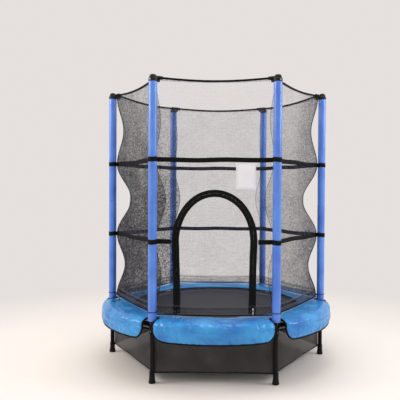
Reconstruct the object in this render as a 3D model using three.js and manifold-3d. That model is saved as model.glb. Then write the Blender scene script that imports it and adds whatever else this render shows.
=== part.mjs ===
// A child's trampoline with a six-sided safety enclosure, in millimetres, +Z up.
// The origin is on the floor, under the middle of the jumping mat. The door faces -Y.
// A round steel ring in six segments stands on six legs. Each segment ends in a welded upright
// socket that takes a leg from below and a padded enclosure pole from above. The mat hangs inside
// the ring on one laced elastic cord. A padded cover lies over the cord, a skirt hangs below, and
// the net hangs inside the poles from a rope, held out by two webbing straps.
import * as THREE from "three";
import { mergeVertices } from "three/addons/utils/BufferGeometryUtils.js";
import Module from "manifold-3d";

const wasm = await Module();
wasm.setup();

// ---- Driving dimensions ----
const SIDES = 6;
const RING_RADIUS = 650; // centre line of the ring, the legs and the poles
const RING_HEIGHT = 310; // centre line of the ring above the floor
const TUBE_DIAMETER = 25; // ring, leg and pole tube
const TUBE_WALL = 1.2;
const OVERALL_HEIGHT = 1620;

const SOCKET_WALL = 2.4; // welded upright socket
const SOCKET_BELOW = 45; // how far the socket reaches below the ring's centre line
const SOCKET_ABOVE = 18; // and above it
const SPIGOT_LENGTH = 34; // plug that a neighbouring ring tube slides over
const SPIGOT_PLAY = 2.2; // between a straight-cut plug and the bent tube around it

const FOOT_HEIGHT = 52;
const FOOT_SOLE = 6;
const FOOT_WALL = 1.7;
const FOOT_BASE_RADIUS = 18.5;

const POLE_JOINT_HEIGHT = 940; // where the upper half of a pole plugs into the lower half
const POLE_PLUG_LENGTH = 60;
const SLEEVE_DIAMETER = 46; // foam sleeve over the pole
const CAP_HEIGHT = 38;
const CAP_RADIUS = 24;
const CAP_CROWN = 16; // plastic over the end of the pole

const MAT_RADIUS = 520;
const MAT_ABOVE_RING = 2; // middle of the mat above the ring's centre line
const MAT_THICKNESS = 4;
const CORD_LOOPS = 24; // turns of the elastic cord round the ring
const CORD_DIAMETER = 6;

const PAD_OVERHANG = 50; // how far the cover reaches past the ring's centre line
const PAD_INNER_RADIUS = 503;
const PAD_THICKNESS = 14;
const PAD_LOWEST = 235; // bottom edge of the flaps that hang outside the ring
const PAD_NOTCH_HALF_WIDTH = 34; // gap in the cover at each pole
const PAD_NOTCH_GAP = 8; // from the notch's end to the foam sleeve
const PAD_CORNER_ROUND = 66; // rounding of each flap's lower corners

const SKIRT_BOTTOM = 48;
const SKIRT_BELOW_RING = 27; // from the ring's centre line to the skirt's top edge
const SKIRT_THICKNESS = 1.6;

const NET_THICKNESS = 2;
const NET_MIDDLE_RADIUS = 534; // from the axis to the middle of a panel
const NET_CORNER_GAP = 6; // from a foam sleeve to the net's corner at the straps
const NET_BOTTOM = 364; // height of the net's lower corners
const LOWER_STRAP_HEIGHT = 745;
const UPPER_STRAP_HEIGHT = 1177;
const NET_PULL_IN = [50, 88, 40]; // how far the corners draw in between their ties, bottom up
const HEM_SAG = 8; // drop of the lower edge in the middle of a panel
const HEM_DIAMETER = 6;
const ROPE_SAG = 18; // drop of the top rope in the middle of a panel
const ROPE_DIAMETER = 8;
const ROPE_INSET = 28; // from a pole's centre line to the rope's corner
const ROPE_BELOW_TOP = 14; // from the top of a cap to the rope
const GUIDE_HALF_LENGTH = 34; // eyelet on the cap that the rope runs through
const GUIDE_WALL = 4;

const STRAP_WIDTH = 25;
const STRAP_THICKNESS = 1.6;

const DOOR_HALF_WIDTH = 206; // at the spring of the arch
const DOOR_FOOT_HALF_WIDTH = 198; // at the hem
const DOOR_SPRING_HEIGHT = 750;
const DOOR_ARCH_RISE = 250;
const DOOR_GAP = 4; // zip between the flap and the tape
const DOOR_TAPE_WIDTH = 17;
const TAPE_THICKNESS = 1.5;
const SLIDER = { width: 9, depth: 5, height: 15, above_hem: 32 };
const BRIDGE = { width: 2.6, gap: 2.6, bar: 1.4, post: 2 }; // loop on the slider that holds the pull
const PULL = { width: 8, thickness: 1.3, length: 28, eye_width: 4, eye_length: 9, bar: 1.3 };

const CLEARANCE = 0.3; // between pieces that touch
const TUBE_FACETS = 12;
const CORD_FACETS = 5;

// ---- Sizes that follow from them ----
const TUBE_RADIUS = TUBE_DIAMETER / 2;
const TUBE_BORE = TUBE_RADIUS - TUBE_WALL;
const SOCKET_BORE = TUBE_RADIUS + CLEARANCE;
const SOCKET_RADIUS = SOCKET_BORE + SOCKET_WALL;
const SPIGOT_RADIUS = TUBE_BORE - SPIGOT_PLAY;
const PLUG_RADIUS = TUBE_BORE - CLEARANCE;
const SOCKET_TOP = RING_HEIGHT + SOCKET_ABOVE;
const SLEEVE_RADIUS = SLEEVE_DIAMETER / 2;
const CAP_BOTTOM = OVERALL_HEIGHT - CAP_HEIGHT;
const POLE_TOP = OVERALL_HEIGHT - CAP_CROWN;
const PAD_RADIUS = RING_RADIUS + PAD_OVERHANG; // half the size the product is sold by
const HALF_ANGLE = Math.PI / SIDES;
const SIDE_ANGLE = 2 * HALF_ANGLE;
const ROPE_HEIGHT = OVERALL_HEIGHT - ROPE_BELOW_TOP;
const ROPE_CORNER = RING_RADIUS - ROPE_INSET;
const NET_CORNER = RING_RADIUS - SLEEVE_RADIUS - NET_CORNER_GAP;
const GUIDE_BORE = ROPE_DIAMETER / 2 + 1;
const NET_TOP = ROPE_HEIGHT - GUIDE_BORE - GUIDE_WALL - 2.5; // at the corners, under the eyelets
const NET_TOP_SAG = ROPE_SAG + ROPE_DIAMETER / 2 + 1 - (ROPE_HEIGHT - NET_TOP);
const CORD_RADIUS = CORD_DIAMETER / 2;
const MAT_HEIGHT = RING_HEIGHT + MAT_ABOVE_RING;
const SKIRT_TOP = RING_HEIGHT - SKIRT_BELOW_RING;
const SKIRT_RADIUS = RING_RADIUS - FOOT_BASE_RADIUS - 2;

const CORNERS = ["right", "back_right", "back_left", "left", "front_left", "front_right"];
const PANELS = ["right_rear", "rear", "left_rear", "left_front", "front", "right_front"];
const FRONT = PANELS.indexOf("front");
const cornerAngle = (i) => i * SIDE_ANGLE;
const panelAngle = (i) => (i + 0.5) * SIDE_ANGLE;

// ---- Materials ----
const finish = (color, roughness, metalness = 0) =>
  new THREE.MeshStandardMaterial({ color, roughness, metalness });
const BLACK_STEEL = finish(0x16130f, 0.45, 0.6);
const BARE_STEEL = finish(0x9aa0a6, 0.35, 0.9);
const BLACK_PLASTIC = finish(0x14120f, 0.5);
const BLACK_RUBBER = finish(0x12100e, 0.8);
const BLUE_FOAM = finish(0x5d89d8, 0.75);
const BLUE_VINYL = finish(0x3f90d8, 0.45);
const MAT_FABRIC = finish(0x2a282a, 0.85);
const SKIRT_FABRIC = finish(0x383537, 0.9);
const NET_MESH = finish(0x3a383c, 0.9);
const BLACK_WEBBING = finish(0x0e0d0d, 0.85);
const ELASTIC = finish(0x1a1a1c, 0.8);
const ZIP_METAL = finish(0xd8d8d8, 0.3, 0.9);

// ---- Solid helpers ----
// A closed geometry as a solid that can be joined and cut.
function solid(geometry) {
  const bare = new THREE.BufferGeometry();
  const flat = geometry.index ? geometry.toNonIndexed() : geometry;
  bare.setAttribute("position", flat.getAttribute("position"));
  const merged = mergeVertices(bare, 1e-3);
  return new wasm.Manifold(
    new wasm.Mesh({
      numProp: 3,
      vertProperties: merged.attributes.position.array,
      triVerts: new Uint32Array(merged.index.array),
    }),
  );
}

function geometryOf(manifold) {
  const mesh = manifold.getMesh();
  const positions = new Float32Array(mesh.numVert * 3);
  for (let i = 0; i < mesh.numVert; i++)
    positions.set(mesh.vertProperties.subarray(i * mesh.numProp, i * mesh.numProp + 3), i * 3);
  const geometry = new THREE.BufferGeometry();
  geometry.setAttribute("position", new THREE.BufferAttribute(positions, 3));
  geometry.setIndex(new THREE.BufferAttribute(mesh.triVerts, 1));
  geometry.computeVertexNormals();
  return geometry;
}

const join = (parts) => parts.reduce((all, part) => all.add(part));

function ringShape(outer, inner) {
  const shape = new THREE.Shape();
  shape.absarc(0, 0, outer, 0, 2 * Math.PI);
  if (inner > 0) {
    const hole = new THREE.Path();
    hole.absarc(0, 0, inner, 0, 2 * Math.PI);
    shape.holes.push(hole);
  }
  return shape;
}

// An upright tube, or a rod if inner is 0, from low to high.
function tube(outer, inner, low, high) {
  const geometry = new THREE.ExtrudeGeometry(ringShape(outer, inner), {
    depth: high - low,
    steps: 1,
    bevelEnabled: false,
    curveSegments: TUBE_FACETS / 2,
  });
  return geometry.translate(0, 0, low);
}

// A tube round the axis at the ring's radius, from one angle to another.
class RingArc extends THREE.Curve {
  constructor(from, to) {
    super();
    this.from = from;
    this.to = to;
  }
  getPoint(t, target = new THREE.Vector3()) {
    const angle = this.from + (this.to - this.from) * t;
    return target.set(RING_RADIUS * Math.cos(angle), RING_RADIUS * Math.sin(angle), RING_HEIGHT);
  }
}

function ringTube(outer, inner, from, to, steps) {
  return new THREE.ExtrudeGeometry(ringShape(outer, inner), {
    extrudePath: new RingArc(from, to),
    steps,
    bevelEnabled: false,
    curveSegments: TUBE_FACETS / 2,
  });
}

// A closed curve that goes straight from each listed point to the next.
class Polyline extends THREE.Curve {
  constructor(points) {
    super();
    this.points = points;
  }
  getPoint(t, target = new THREE.Vector3()) {
    const place = (t % 1) * this.points.length;
    const first = Math.floor(place) % this.points.length;
    const next = (first + 1) % this.points.length;
    return target.lerpVectors(this.points[first], this.points[next], place - Math.floor(place));
  }
  getPointAt(t, target) {
    return this.getPoint(t, target);
  }
  getTangentAt(t, target = new THREE.Vector3()) {
    const step = 0.5 / this.points.length;
    return target.subVectors(this.getPoint((t + step) % 1), this.getPoint((t - step + 1) % 1)).normalize();
  }
}

const closedCord = (points, radius, facets = CORD_FACETS) =>
  new THREE.TubeGeometry(new Polyline(points), points.length, radius, facets, true);

function lathe(profile, facets = TUBE_FACETS) {
  const points = profile.map(([r, z]) => new THREE.Vector2(r, z));
  return new THREE.LatheGeometry(points, facets).rotateX(Math.PI / 2);
}

const atCorner = (geometry, i) => geometry.translate(RING_RADIUS, 0, 0).rotateZ(cornerAngle(i));

const polar = (radius, angle, z) =>
  new THREE.Vector3(radius * Math.cos(angle), radius * Math.sin(angle), z);

// ---- The net's shape ----
// How square the cross-section is at an angle off the middle of a panel: 0 there and 1 at a corner.
const cornering = (offset) =>
  (1 / Math.cos(offset) - 1) / (1 / Math.cos(HALF_ANGLE) - 1);

// Distance of the net's corner from the axis at height z: out at each tie, drawn in between them.
function netCorner(z) {
  const ties = [
    [NET_BOTTOM, NET_CORNER],
    [LOWER_STRAP_HEIGHT, NET_CORNER],
    [UPPER_STRAP_HEIGHT, NET_CORNER],
    [NET_TOP, ROPE_CORNER],
  ];
  const above = ties.findIndex(([height], tie) => tie > 0 && z < height);
  const bay = above < 0 ? ties.length - 2 : above - 1;
  const [[low, inner], [high, outer]] = [ties[bay], ties[bay + 1]];
  const t = THREE.MathUtils.clamp((z - low) / (high - low), 0, 1);
  return inner + (outer - inner) * t - NET_PULL_IN[bay] * Math.sin(Math.PI * t) ** 2;
}

// Distance of the net from the axis at height z and an angle off the middle of a panel.
const netRadius = (offset, z) =>
  NET_MIDDLE_RADIUS + (netCorner(z) - NET_MIDDLE_RADIUS) * cornering(offset);

const droop = (offset) => 1 - (offset / HALF_ANGLE) ** 2;
const hemHeight = (offset) => NET_BOTTOM - HEM_SAG * droop(offset);
const netTopHeight = (offset) => NET_TOP - NET_TOP_SAG * droop(offset);

// A closed slab over a grid. place gives the point at u and v, from 0 to 1, on its inner side (0) or
// its outer side (1).
function slab(columns, rows, place) {
  const corners = [];
  for (const side of [0, 1])
    for (let row = 0; row <= rows; row++)
      for (let column = 0; column <= columns; column++)
        corners.push(place(column / columns, row / rows, side));
  const at = (column, row, side) => (side * (rows + 1) + row) * (columns + 1) + column;
  const index = [];
  const quad = (a, b, c, d) => index.push(a, b, c, a, c, d);
  for (let row = 0; row < rows; row++) {
    for (let column = 0; column < columns; column++) {
      const square = (side) => [
        at(column, row, side),
        at(column + 1, row, side),
        at(column + 1, row + 1, side),
        at(column, row + 1, side),
      ];
      const [a, b, c, d] = square(0);
      quad(...square(1));
      quad(a, d, c, b);
    }
    quad(at(0, row, 0), at(0, row, 1), at(0, row + 1, 1), at(0, row + 1, 0));
    quad(at(columns, row, 0), at(columns, row + 1, 0), at(columns, row + 1, 1), at(columns, row, 1));
  }
  for (let column = 0; column < columns; column++) {
    quad(at(column, 0, 0), at(column + 1, 0, 0), at(column + 1, 0, 1), at(column, 0, 1));
    quad(at(column, rows, 0), at(column, rows, 1), at(column + 1, rows, 1), at(column + 1, rows, 0));
  }
  return new THREE.BufferGeometry().setFromPoints(corners).setIndex(index);
}

// A sheet that follows the net over one panel. out shifts it outwards, and low and high give its
// edges' heights at an angle off the panel's middle. With upright it stands straight up, as far out as
// the net is at that height.
const netSheet = (
  panel,
  { out = 0, thickness, low, high, columns, rows, upright, halfAngle = HALF_ANGLE },
) =>
  slab(columns, rows, (u, v, side) => {
    const offset = (2 * u - 1) * halfAngle;
    const z = low(offset) + v * (high(offset) - low(offset));
    const radius = netRadius(offset, upright ?? z) + out + (side - 0.5) * thickness;
    return polar(radius, panelAngle(panel) + offset, z);
  });

// Points along the net's edge all the way round: its top rope or its lower hem.
function edgePoints(height, cornerRadius, steps) {
  const points = [];
  for (let panel = 0; panel < SIDES; panel++)
    for (let step = 0; step < steps; step++) {
      const offset = HALF_ANGLE * ((2 * step) / steps - 1);
      const radius = NET_MIDDLE_RADIUS + (cornerRadius - NET_MIDDLE_RADIUS) * cornering(offset);
      points.push(polar(radius, panelAngle(panel) + offset, height(offset)));
    }
  return points;
}

const ROPE_STEPS = 6;
const ropePoints = edgePoints(
  (offset) => ROPE_HEIGHT - ROPE_SAG * droop(offset),
  ROPE_CORNER,
  ROPE_STEPS,
);
const hemPoints = edgePoints(
  (offset) => hemHeight(offset) - HEM_DIAMETER / 2 - 1,
  netCorner(NET_BOTTOM),
  ROPE_STEPS,
);

// ---- Frame ----
// Angle that a length takes up along the ring.
const along = (length) => length / RING_RADIUS;

function ringSegment(i) {
  const from = cornerAngle(i);
  const to = from + SIDE_ANGLE - along(SOCKET_RADIUS + CLEARANCE + 0.5);
  const socket = solid(
    atCorner(tube(SOCKET_RADIUS, 0, RING_HEIGHT - SOCKET_BELOW, SOCKET_TOP), i),
  );
  const own = solid(ringTube(TUBE_RADIUS, TUBE_BORE, from + along(SOCKET_BORE), to, 7));
  const plugEnd = from - along(SOCKET_RADIUS + SPIGOT_LENGTH);
  const spigot = solid(
    ringTube(SPIGOT_RADIUS, SPIGOT_RADIUS - TUBE_WALL, plugEnd, from - along(SOCKET_BORE), 1),
  );
  const bore = solid(
    atCorner(tube(SOCKET_BORE, 0, RING_HEIGHT - SOCKET_BELOW - 1, SOCKET_TOP + 1), i),
  );
  return geometryOf(join([socket, own, spigot]).subtract(bore));
}

const leg = (i) => atCorner(tube(TUBE_RADIUS, TUBE_BORE, FOOT_SOLE + CLEARANCE, RING_HEIGHT - 2), i);

function footCap(i) {
  const bore = TUBE_RADIUS + CLEARANCE;
  const neck = bore + FOOT_WALL;
  const profile = [
    [0, 0],
    [FOOT_BASE_RADIUS - 1, 0],
    [FOOT_BASE_RADIUS, 2],
    [FOOT_BASE_RADIUS, 7],
    [neck + 0.8, FOOT_HEIGHT - 14],
    [neck, FOOT_HEIGHT - 10],
    [neck, FOOT_HEIGHT],
    [bore, FOOT_HEIGHT],
    [bore, FOOT_SOLE],
    [0, FOOT_SOLE],
  ];
  return atCorner(lathe(profile), i);
}

// ---- Poles ----
const poleLower = (i) => atCorner(tube(TUBE_RADIUS, TUBE_BORE, RING_HEIGHT + 2, POLE_JOINT_HEIGHT), i);

function poleUpper(i) {
  const shoulder = POLE_JOINT_HEIGHT + CLEARANCE;
  const plugBottom = POLE_JOINT_HEIGHT - POLE_PLUG_LENGTH;
  const profile = [
    [PLUG_RADIUS - TUBE_WALL, plugBottom],
    [PLUG_RADIUS, plugBottom],
    [PLUG_RADIUS, shoulder],
    [TUBE_RADIUS, shoulder],
    [TUBE_RADIUS, POLE_TOP],
    [TUBE_BORE, POLE_TOP],
    [TUBE_BORE, shoulder + 2],
    [PLUG_RADIUS - TUBE_WALL, shoulder],
    [PLUG_RADIUS - TUBE_WALL, plugBottom],
  ];
  return atCorner(lathe(profile), i);
}

const foamSleeve = (i) =>
  atCorner(tube(SLEEVE_RADIUS, TUBE_RADIUS + CLEARANCE, SOCKET_TOP + CLEARANCE, CAP_BOTTOM - CLEARANCE), i);

// A domed cap with a bent tube on its inner side that the top rope runs through.
function poleCap(i) {
  const body = solid(
    atCorner(
      lathe([
        [0, CAP_BOTTOM],
        [CAP_RADIUS - 1, CAP_BOTTOM],
        [CAP_RADIUS, CAP_BOTTOM + 1],
        [CAP_RADIUS, OVERALL_HEIGHT - 12],
        [CAP_RADIUS - 4, OVERALL_HEIGHT - 4],
        [CAP_RADIUS - 12, OVERALL_HEIGHT],
        [0, OVERALL_HEIGHT],
      ]),
      i,
    ),
  );
  const guideRadius = GUIDE_BORE + GUIDE_WALL;
  const reach = 2 * guideRadius;
  const block = new THREE.BoxGeometry(reach, 2 * GUIDE_HALF_LENGTH, 4 * guideRadius);
  block.translate(-ROPE_INSET - 4, 0, ROPE_HEIGHT);
  const guide = solid(closedCord(ropePoints, guideRadius, 8)).intersect(solid(atCorner(block, i)));
  const rope = solid(closedCord(ropePoints, GUIDE_BORE, 8));
  const bore = solid(atCorner(tube(TUBE_RADIUS + CLEARANCE, 0, CAP_BOTTOM - 1, POLE_TOP + CLEARANCE), i));
  return geometryOf(join([body, guide]).subtract(rope).subtract(bore));
}

// ---- Mat, cord, cover and skirt ----
function jumpingMat() {
  const low = MAT_HEIGHT - MAT_THICKNESS / 2;
  const high = MAT_HEIGHT + MAT_THICKNESS / 2;
  const edge = [
    [0, low],
    [MAT_RADIUS - 1, low],
    [MAT_RADIUS, MAT_HEIGHT],
    [MAT_RADIUS - 1, high],
    [0, high],
  ];
  return lathe(edge, 36);
}

// One elastic cord laced from the mat's edge over the ring, round it and back, all the way round.
function elasticCord() {
  const pitch = (2 * Math.PI) / CORD_LOOPS;
  const wrap = TUBE_RADIUS + CORD_RADIUS + 1.8;
  const matEdge = MAT_RADIUS + CORD_RADIUS + 1.5;
  const points = [];
  for (let loop = 0; loop < CORD_LOOPS; loop++) {
    points.push(polar(matEdge, loop * pitch, MAT_HEIGHT));
    for (let turn = 0; turn < 4; turn++) {
      const around = Math.PI / 2 - (turn * Math.PI) / 3;
      const radius = RING_RADIUS + wrap * Math.cos(around);
      const angle = (loop + 0.44 + 0.04 * turn) * pitch;
      points.push(polar(radius, angle, RING_HEIGHT + wrap * Math.sin(around)));
    }
  }
  return closedCord(points, CORD_RADIUS, 4);
}

function framePad() {
  const under = RING_HEIGHT + TUBE_RADIUS + CORD_DIAMETER + 4;
  const top = under + PAD_THICKNESS;
  const outer = PAD_RADIUS;
  const inner = PAD_RADIUS - PAD_THICKNESS;
  const profile = [
    [PAD_INNER_RADIUS + 3, under - 2],
    [RING_RADIUS + 6, under],
    [inner - 6, under - 16],
    [inner, under - 34],
    [inner, PAD_LOWEST + 2],
    [inner + 4, PAD_LOWEST],
    [outer - 4, PAD_LOWEST],
    [outer, PAD_LOWEST + 2],
    [outer, under - 30],
    [outer - 6, under - 10],
    [RING_RADIUS + 12, top - 2],
    [PAD_INNER_RADIUS + 14, top],
    [PAD_INNER_RADIUS, under + 5],
    [PAD_INNER_RADIUS + 3, under - 2],
  ];
  const cover = solid(lathe(profile, 48));
  const from = RING_RADIUS - SLEEVE_RADIUS - PAD_NOTCH_GAP;
  const notch = (i) => solid(padNotch(from, outer + 20, top + 20).rotateZ(cornerAngle(i)));
  return geometryOf(CORNERS.reduce((left, name, i) => left.subtract(notch(i)), cover));
}

// The space left clear at a pole, widening below the ring into the flaps' rounded corners.
function padNotch(from, to, top) {
  const half = PAD_NOTCH_HALF_WIDTH;
  const wide = half + PAD_CORNER_ROUND;
  const below = PAD_LOWEST - 10;
  const shape = new THREE.Shape();
  shape.moveTo(-half, top);
  shape.lineTo(-half, PAD_LOWEST + PAD_CORNER_ROUND);
  shape.bezierCurveTo(-half, PAD_LOWEST + 30, -wide + 42, PAD_LOWEST - 1, -wide, PAD_LOWEST - 1);
  shape.lineTo(-wide, below);
  shape.lineTo(wide, below);
  shape.lineTo(wide, PAD_LOWEST - 1);
  shape.bezierCurveTo(wide - 42, PAD_LOWEST - 1, half, PAD_LOWEST + 30, half, PAD_LOWEST + PAD_CORNER_ROUND);
  shape.lineTo(half, top);
  const cutter = new THREE.ExtrudeGeometry(shape, {
    depth: to - from,
    bevelEnabled: false,
    curveSegments: 4,
  });
  // The outline's plane turns upright, facing out along +X.
  return cutter.rotateX(Math.PI / 2).rotateZ(Math.PI / 2).translate(from, 0, 0);
}

// Hangs inside the legs from a circle to a hem drawn straight from leg to leg.
const skirt = () =>
  geometryOf(
    join(
      PANELS.map((name, panel) =>
        solid(
          slab(6, 1, (u, v, side) => {
            const offset = (2 * u - 1) * HALF_ANGLE;
            const straight = Math.cos(HALF_ANGLE) / Math.cos(offset);
            const radius = SKIRT_RADIUS * (straight + (1 - straight) * v) + (side - 1) * SKIRT_THICKNESS;
            return polar(radius, panelAngle(panel) + offset, SKIRT_BOTTOM + v * (SKIRT_TOP - SKIRT_BOTTOM));
          }),
        ),
      ),
    ),
  );

// ---- Net, straps and door ----
// Half the door's width at a height, grown outwards by grow.
function doorShape(grow) {
  const foot = hemHeight(0) - 40;
  const shape = new THREE.Shape();
  const half = DOOR_HALF_WIDTH + grow;
  shape.moveTo(-DOOR_FOOT_HALF_WIDTH - grow, foot);
  shape.lineTo(DOOR_FOOT_HALF_WIDTH + grow, foot);
  shape.lineTo(half, DOOR_SPRING_HEIGHT);
  shape.absellipse(0, DOOR_SPRING_HEIGHT, half, DOOR_ARCH_RISE + grow, 0, Math.PI, false, 0);
  shape.lineTo(-DOOR_FOOT_HALF_WIDTH - grow, foot);
  return shape;
}

// The door's outline as a block that runs through the front panel.
function doorBlock(grow) {
  const reach = 300;
  const block = new THREE.ExtrudeGeometry(doorShape(grow), {
    depth: reach,
    bevelEnabled: false,
    curveSegments: 9,
  });
  return solid(block.rotateX(Math.PI / 2).translate(0, -NET_MIDDLE_RADIUS + reach / 2, 0));
}

// Panels stop just short of the corner, so that neighbours don't touch.
const PANEL_HALF_ANGLE = HALF_ANGLE - 0.5 / RING_RADIUS;

const netPanelSheet = (panel, sizes = {}) =>
  netSheet(panel, {
    thickness: NET_THICKNESS,
    low: hemHeight,
    high: netTopHeight,
    columns: 6,
    rows: 9,
    halfAngle: PANEL_HALF_ANGLE,
    ...sizes,
  });

function netPanel(panel) {
  if (panel !== FRONT) return netPanelSheet(panel);
  return geometryOf(solid(netPanelSheet(panel)).subtract(doorBlock(DOOR_GAP / 2)));
}

const doorFlap = () =>
  geometryOf(solid(netPanelSheet(FRONT)).intersect(doorBlock(-DOOR_GAP / 2)));

// Webbing that edges the doorway, sewn to the outside of the front panel.
function doorTape() {
  const sheet = netPanelSheet(FRONT, {
    out: NET_THICKNESS / 2 + 2 * CLEARANCE + TAPE_THICKNESS / 2,
    thickness: TAPE_THICKNESS,
  });
  const outline = doorBlock(DOOR_GAP / 2 + DOOR_TAPE_WIDTH).subtract(doorBlock(DOOR_GAP / 2));
  return geometryOf(solid(sheet).intersect(outline));
}

// A webbing band round the outside of the net, with a loop round each padded pole.
function strap(height, gapHalfWidth) {
  const low = height - STRAP_WIDTH / 2;
  const high = height + STRAP_WIDTH / 2;
  const out = NET_THICKNESS / 2 + CLEARANCE + STRAP_THICKNESS / 2;
  const bands = PANELS.map((name, panel) =>
    solid(
      netSheet(panel, {
        out,
        thickness: STRAP_THICKNESS,
        low: () => low,
        high: () => high,
        columns: 6,
        rows: 1,
        upright: height,
      }),
    ),
  );
  const loopInner = SLEEVE_RADIUS + CLEARANCE;
  const loopOuter = loopInner + STRAP_THICKNESS;
  const loops = CORNERS.map((name, i) => solid(atCorner(tube(loopOuter, loopInner, low, high), i)));
  const links = CORNERS.map((name, i) => {
    const from = NET_CORNER + NET_THICKNESS / 2 + CLEARANCE + 0.2;
    const to = RING_RADIUS - loopInner - STRAP_THICKNESS / 2;
    const link = new THREE.BoxGeometry(to - from, 3 * STRAP_THICKNESS, STRAP_WIDTH);
    return solid(link.translate((from + to) / 2, 0, height).rotateZ(cornerAngle(i)));
  });
  let all = join([...bands, ...loops, ...links]);
  if (gapHalfWidth > 0) {
    const gap = new THREE.BoxGeometry(2 * gapHalfWidth, 200, 2 * STRAP_WIDTH);
    all = all.subtract(solid(gap.translate(0, -NET_MIDDLE_RADIUS, height)));
  }
  return geometryOf(all);
}

const doorHalfWidthAt = (z) => {
  const share = (z - hemHeight(0)) / (DOOR_SPRING_HEIGHT - hemHeight(0));
  return DOOR_FOOT_HALF_WIDTH + (DOOR_HALF_WIDTH - DOOR_FOOT_HALF_WIDTH) * share;
};

// The middle of the zip slider: outside the tape, at the foot of the door's right side.
function sliderPlace() {
  const x = doorHalfWidthAt(hemHeight(0)) + DOOR_GAP / 2 + SLIDER.width / 2;
  const z = hemHeight(0) + SLIDER.above_hem;
  const tapeFace = NET_MIDDLE_RADIUS + NET_THICKNESS / 2 + 2 * CLEARANCE + TAPE_THICKNESS;
  const bow = 3; // the tape bows out past the middle of the panel by no more than this
  return new THREE.Vector3(x, -tapeFace - bow - SLIDER.depth / 2, z);
}

const block = (width, depth, height, x, y, z) =>
  new THREE.BoxGeometry(width, depth, height).translate(x, y, z);

// The slider's body with a bridge in front of it.
function zipSlider() {
  const { x, y, z } = sliderPlace();
  const front = y - SLIDER.depth / 2;
  const reach = BRIDGE.gap + BRIDGE.bar;
  const post = (side) =>
    block(BRIDGE.width, reach + 0.5, BRIDGE.post, x, front - reach / 2 + 0.25, z + side * bridgeEnd);
  const bridgeEnd = SLIDER.height / 2 - BRIDGE.post;
  const bar = block(
    BRIDGE.width,
    BRIDGE.bar,
    2 * bridgeEnd + BRIDGE.post,
    x,
    front - BRIDGE.gap - BRIDGE.bar / 2,
    z,
  );
  const body = block(SLIDER.width, SLIDER.depth, SLIDER.height, x, y, z);
  return geometryOf(join([body, post(1), post(-1), bar].map(solid)));
}

// A tab whose top bar lies behind the bridge, so that the tab hangs from the slider and swings out.
function zipPull() {
  const { x, y, z } = sliderPlace();
  const turn = { y: y - SLIDER.depth / 2 - BRIDGE.gap / 2, z: z - SLIDER.height / 2 + 2 * BRIDGE.post + 0.6 };
  const tab = block(
    PULL.width,
    PULL.thickness,
    PULL.length,
    x,
    turn.y,
    turn.z + PULL.bar / 2 - PULL.length / 2,
  );
  const eye = block(
    PULL.eye_width,
    2 * PULL.thickness,
    PULL.eye_length,
    x,
    turn.y,
    turn.z - PULL.bar / 2 - PULL.eye_length / 2,
  );
  return geometryOf(solid(tab).subtract(solid(eye)));
}

// ---- Assembly ----
const trampoline = new THREE.Group();

function add(name, geometry, material, parent = trampoline) {
  const mesh = new THREE.Mesh(geometry, material);
  mesh.name = name;
  parent.add(mesh);
  return mesh;
}

CORNERS.forEach((corner, i) => {
  add(`leg_${corner}`, leg(i), BLACK_STEEL);
  add(`foot_cap_${corner}`, footCap(i), BLACK_RUBBER);
  add(`pole_lower_${corner}`, poleLower(i), BARE_STEEL);
  add(`pole_upper_${corner}`, poleUpper(i), BARE_STEEL);
  add(`foam_sleeve_${corner}`, foamSleeve(i), BLUE_FOAM);
  add(`pole_cap_${corner}`, poleCap(i), BLACK_PLASTIC);
});
PANELS.forEach((side, panel) => {
  add(`ring_segment_${side}`, ringSegment(panel), BLACK_STEEL);
  add(`net_panel_${side}`, netPanel(panel), NET_MESH);
});
add("jumping_mat", jumpingMat(), MAT_FABRIC);
add("elastic_cord", elasticCord(), ELASTIC);
add("frame_pad", framePad(), BLUE_VINYL);
add("skirt", skirt(), SKIRT_FABRIC);
add("top_rope", closedCord(ropePoints, ROPE_DIAMETER / 2), BLACK_WEBBING);
add("bottom_hem", closedCord(hemPoints, HEM_DIAMETER / 2), BLACK_WEBBING);
add("upper_strap", strap(UPPER_STRAP_HEIGHT, 0), BLACK_WEBBING);
add(
  "lower_strap",
  strap(LOWER_STRAP_HEIGHT, doorHalfWidthAt(LOWER_STRAP_HEIGHT) + DOOR_GAP / 2 + DOOR_TAPE_WIDTH + 1),
  BLACK_WEBBING,
);
add("door_flap", doorFlap(), NET_MESH);
add("door_tape", doorTape(), BLACK_WEBBING);
add("zip_slider", zipSlider(), ZIP_METAL);
add("zip_pull", zipPull(), ZIP_METAL);

export default trampoline;
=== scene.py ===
"""Looks of a child's trampoline with a safety net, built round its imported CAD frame, in metres."""

import logging
import math
from dataclasses import dataclass, field
from enum import Enum
from typing import Callable, Iterable, Sequence

import bmesh
import bpy
import numpy as np
from mathutils import Matrix, Vector, noise


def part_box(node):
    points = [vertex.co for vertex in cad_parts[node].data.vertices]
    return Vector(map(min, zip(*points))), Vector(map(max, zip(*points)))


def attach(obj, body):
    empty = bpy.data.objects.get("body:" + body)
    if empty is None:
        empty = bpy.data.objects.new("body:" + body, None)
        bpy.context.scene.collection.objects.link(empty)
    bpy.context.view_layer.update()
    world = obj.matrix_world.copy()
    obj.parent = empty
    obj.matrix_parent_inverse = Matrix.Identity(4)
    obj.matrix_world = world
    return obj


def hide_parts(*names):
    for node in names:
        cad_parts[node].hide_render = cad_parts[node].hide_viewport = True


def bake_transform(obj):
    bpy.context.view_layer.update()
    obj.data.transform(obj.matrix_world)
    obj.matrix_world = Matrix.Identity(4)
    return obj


log = logging.getLogger("trampoline")

Place = Callable[[float, float], Vector]
Height = Callable[[float], float]

UP = Vector((0, 0, 1))
OUTWARD = Matrix.Rotation(math.pi / 2, 4, "Y")

# Sizes that several sub-assemblies share, in metres.
RING_RADIUS = 0.650
RING_HEIGHT = 0.310
TUBE_RADIUS = 0.0125
SLEEVE_RADIUS = 0.023
NET_PER_RADIAN = 0.57

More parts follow.
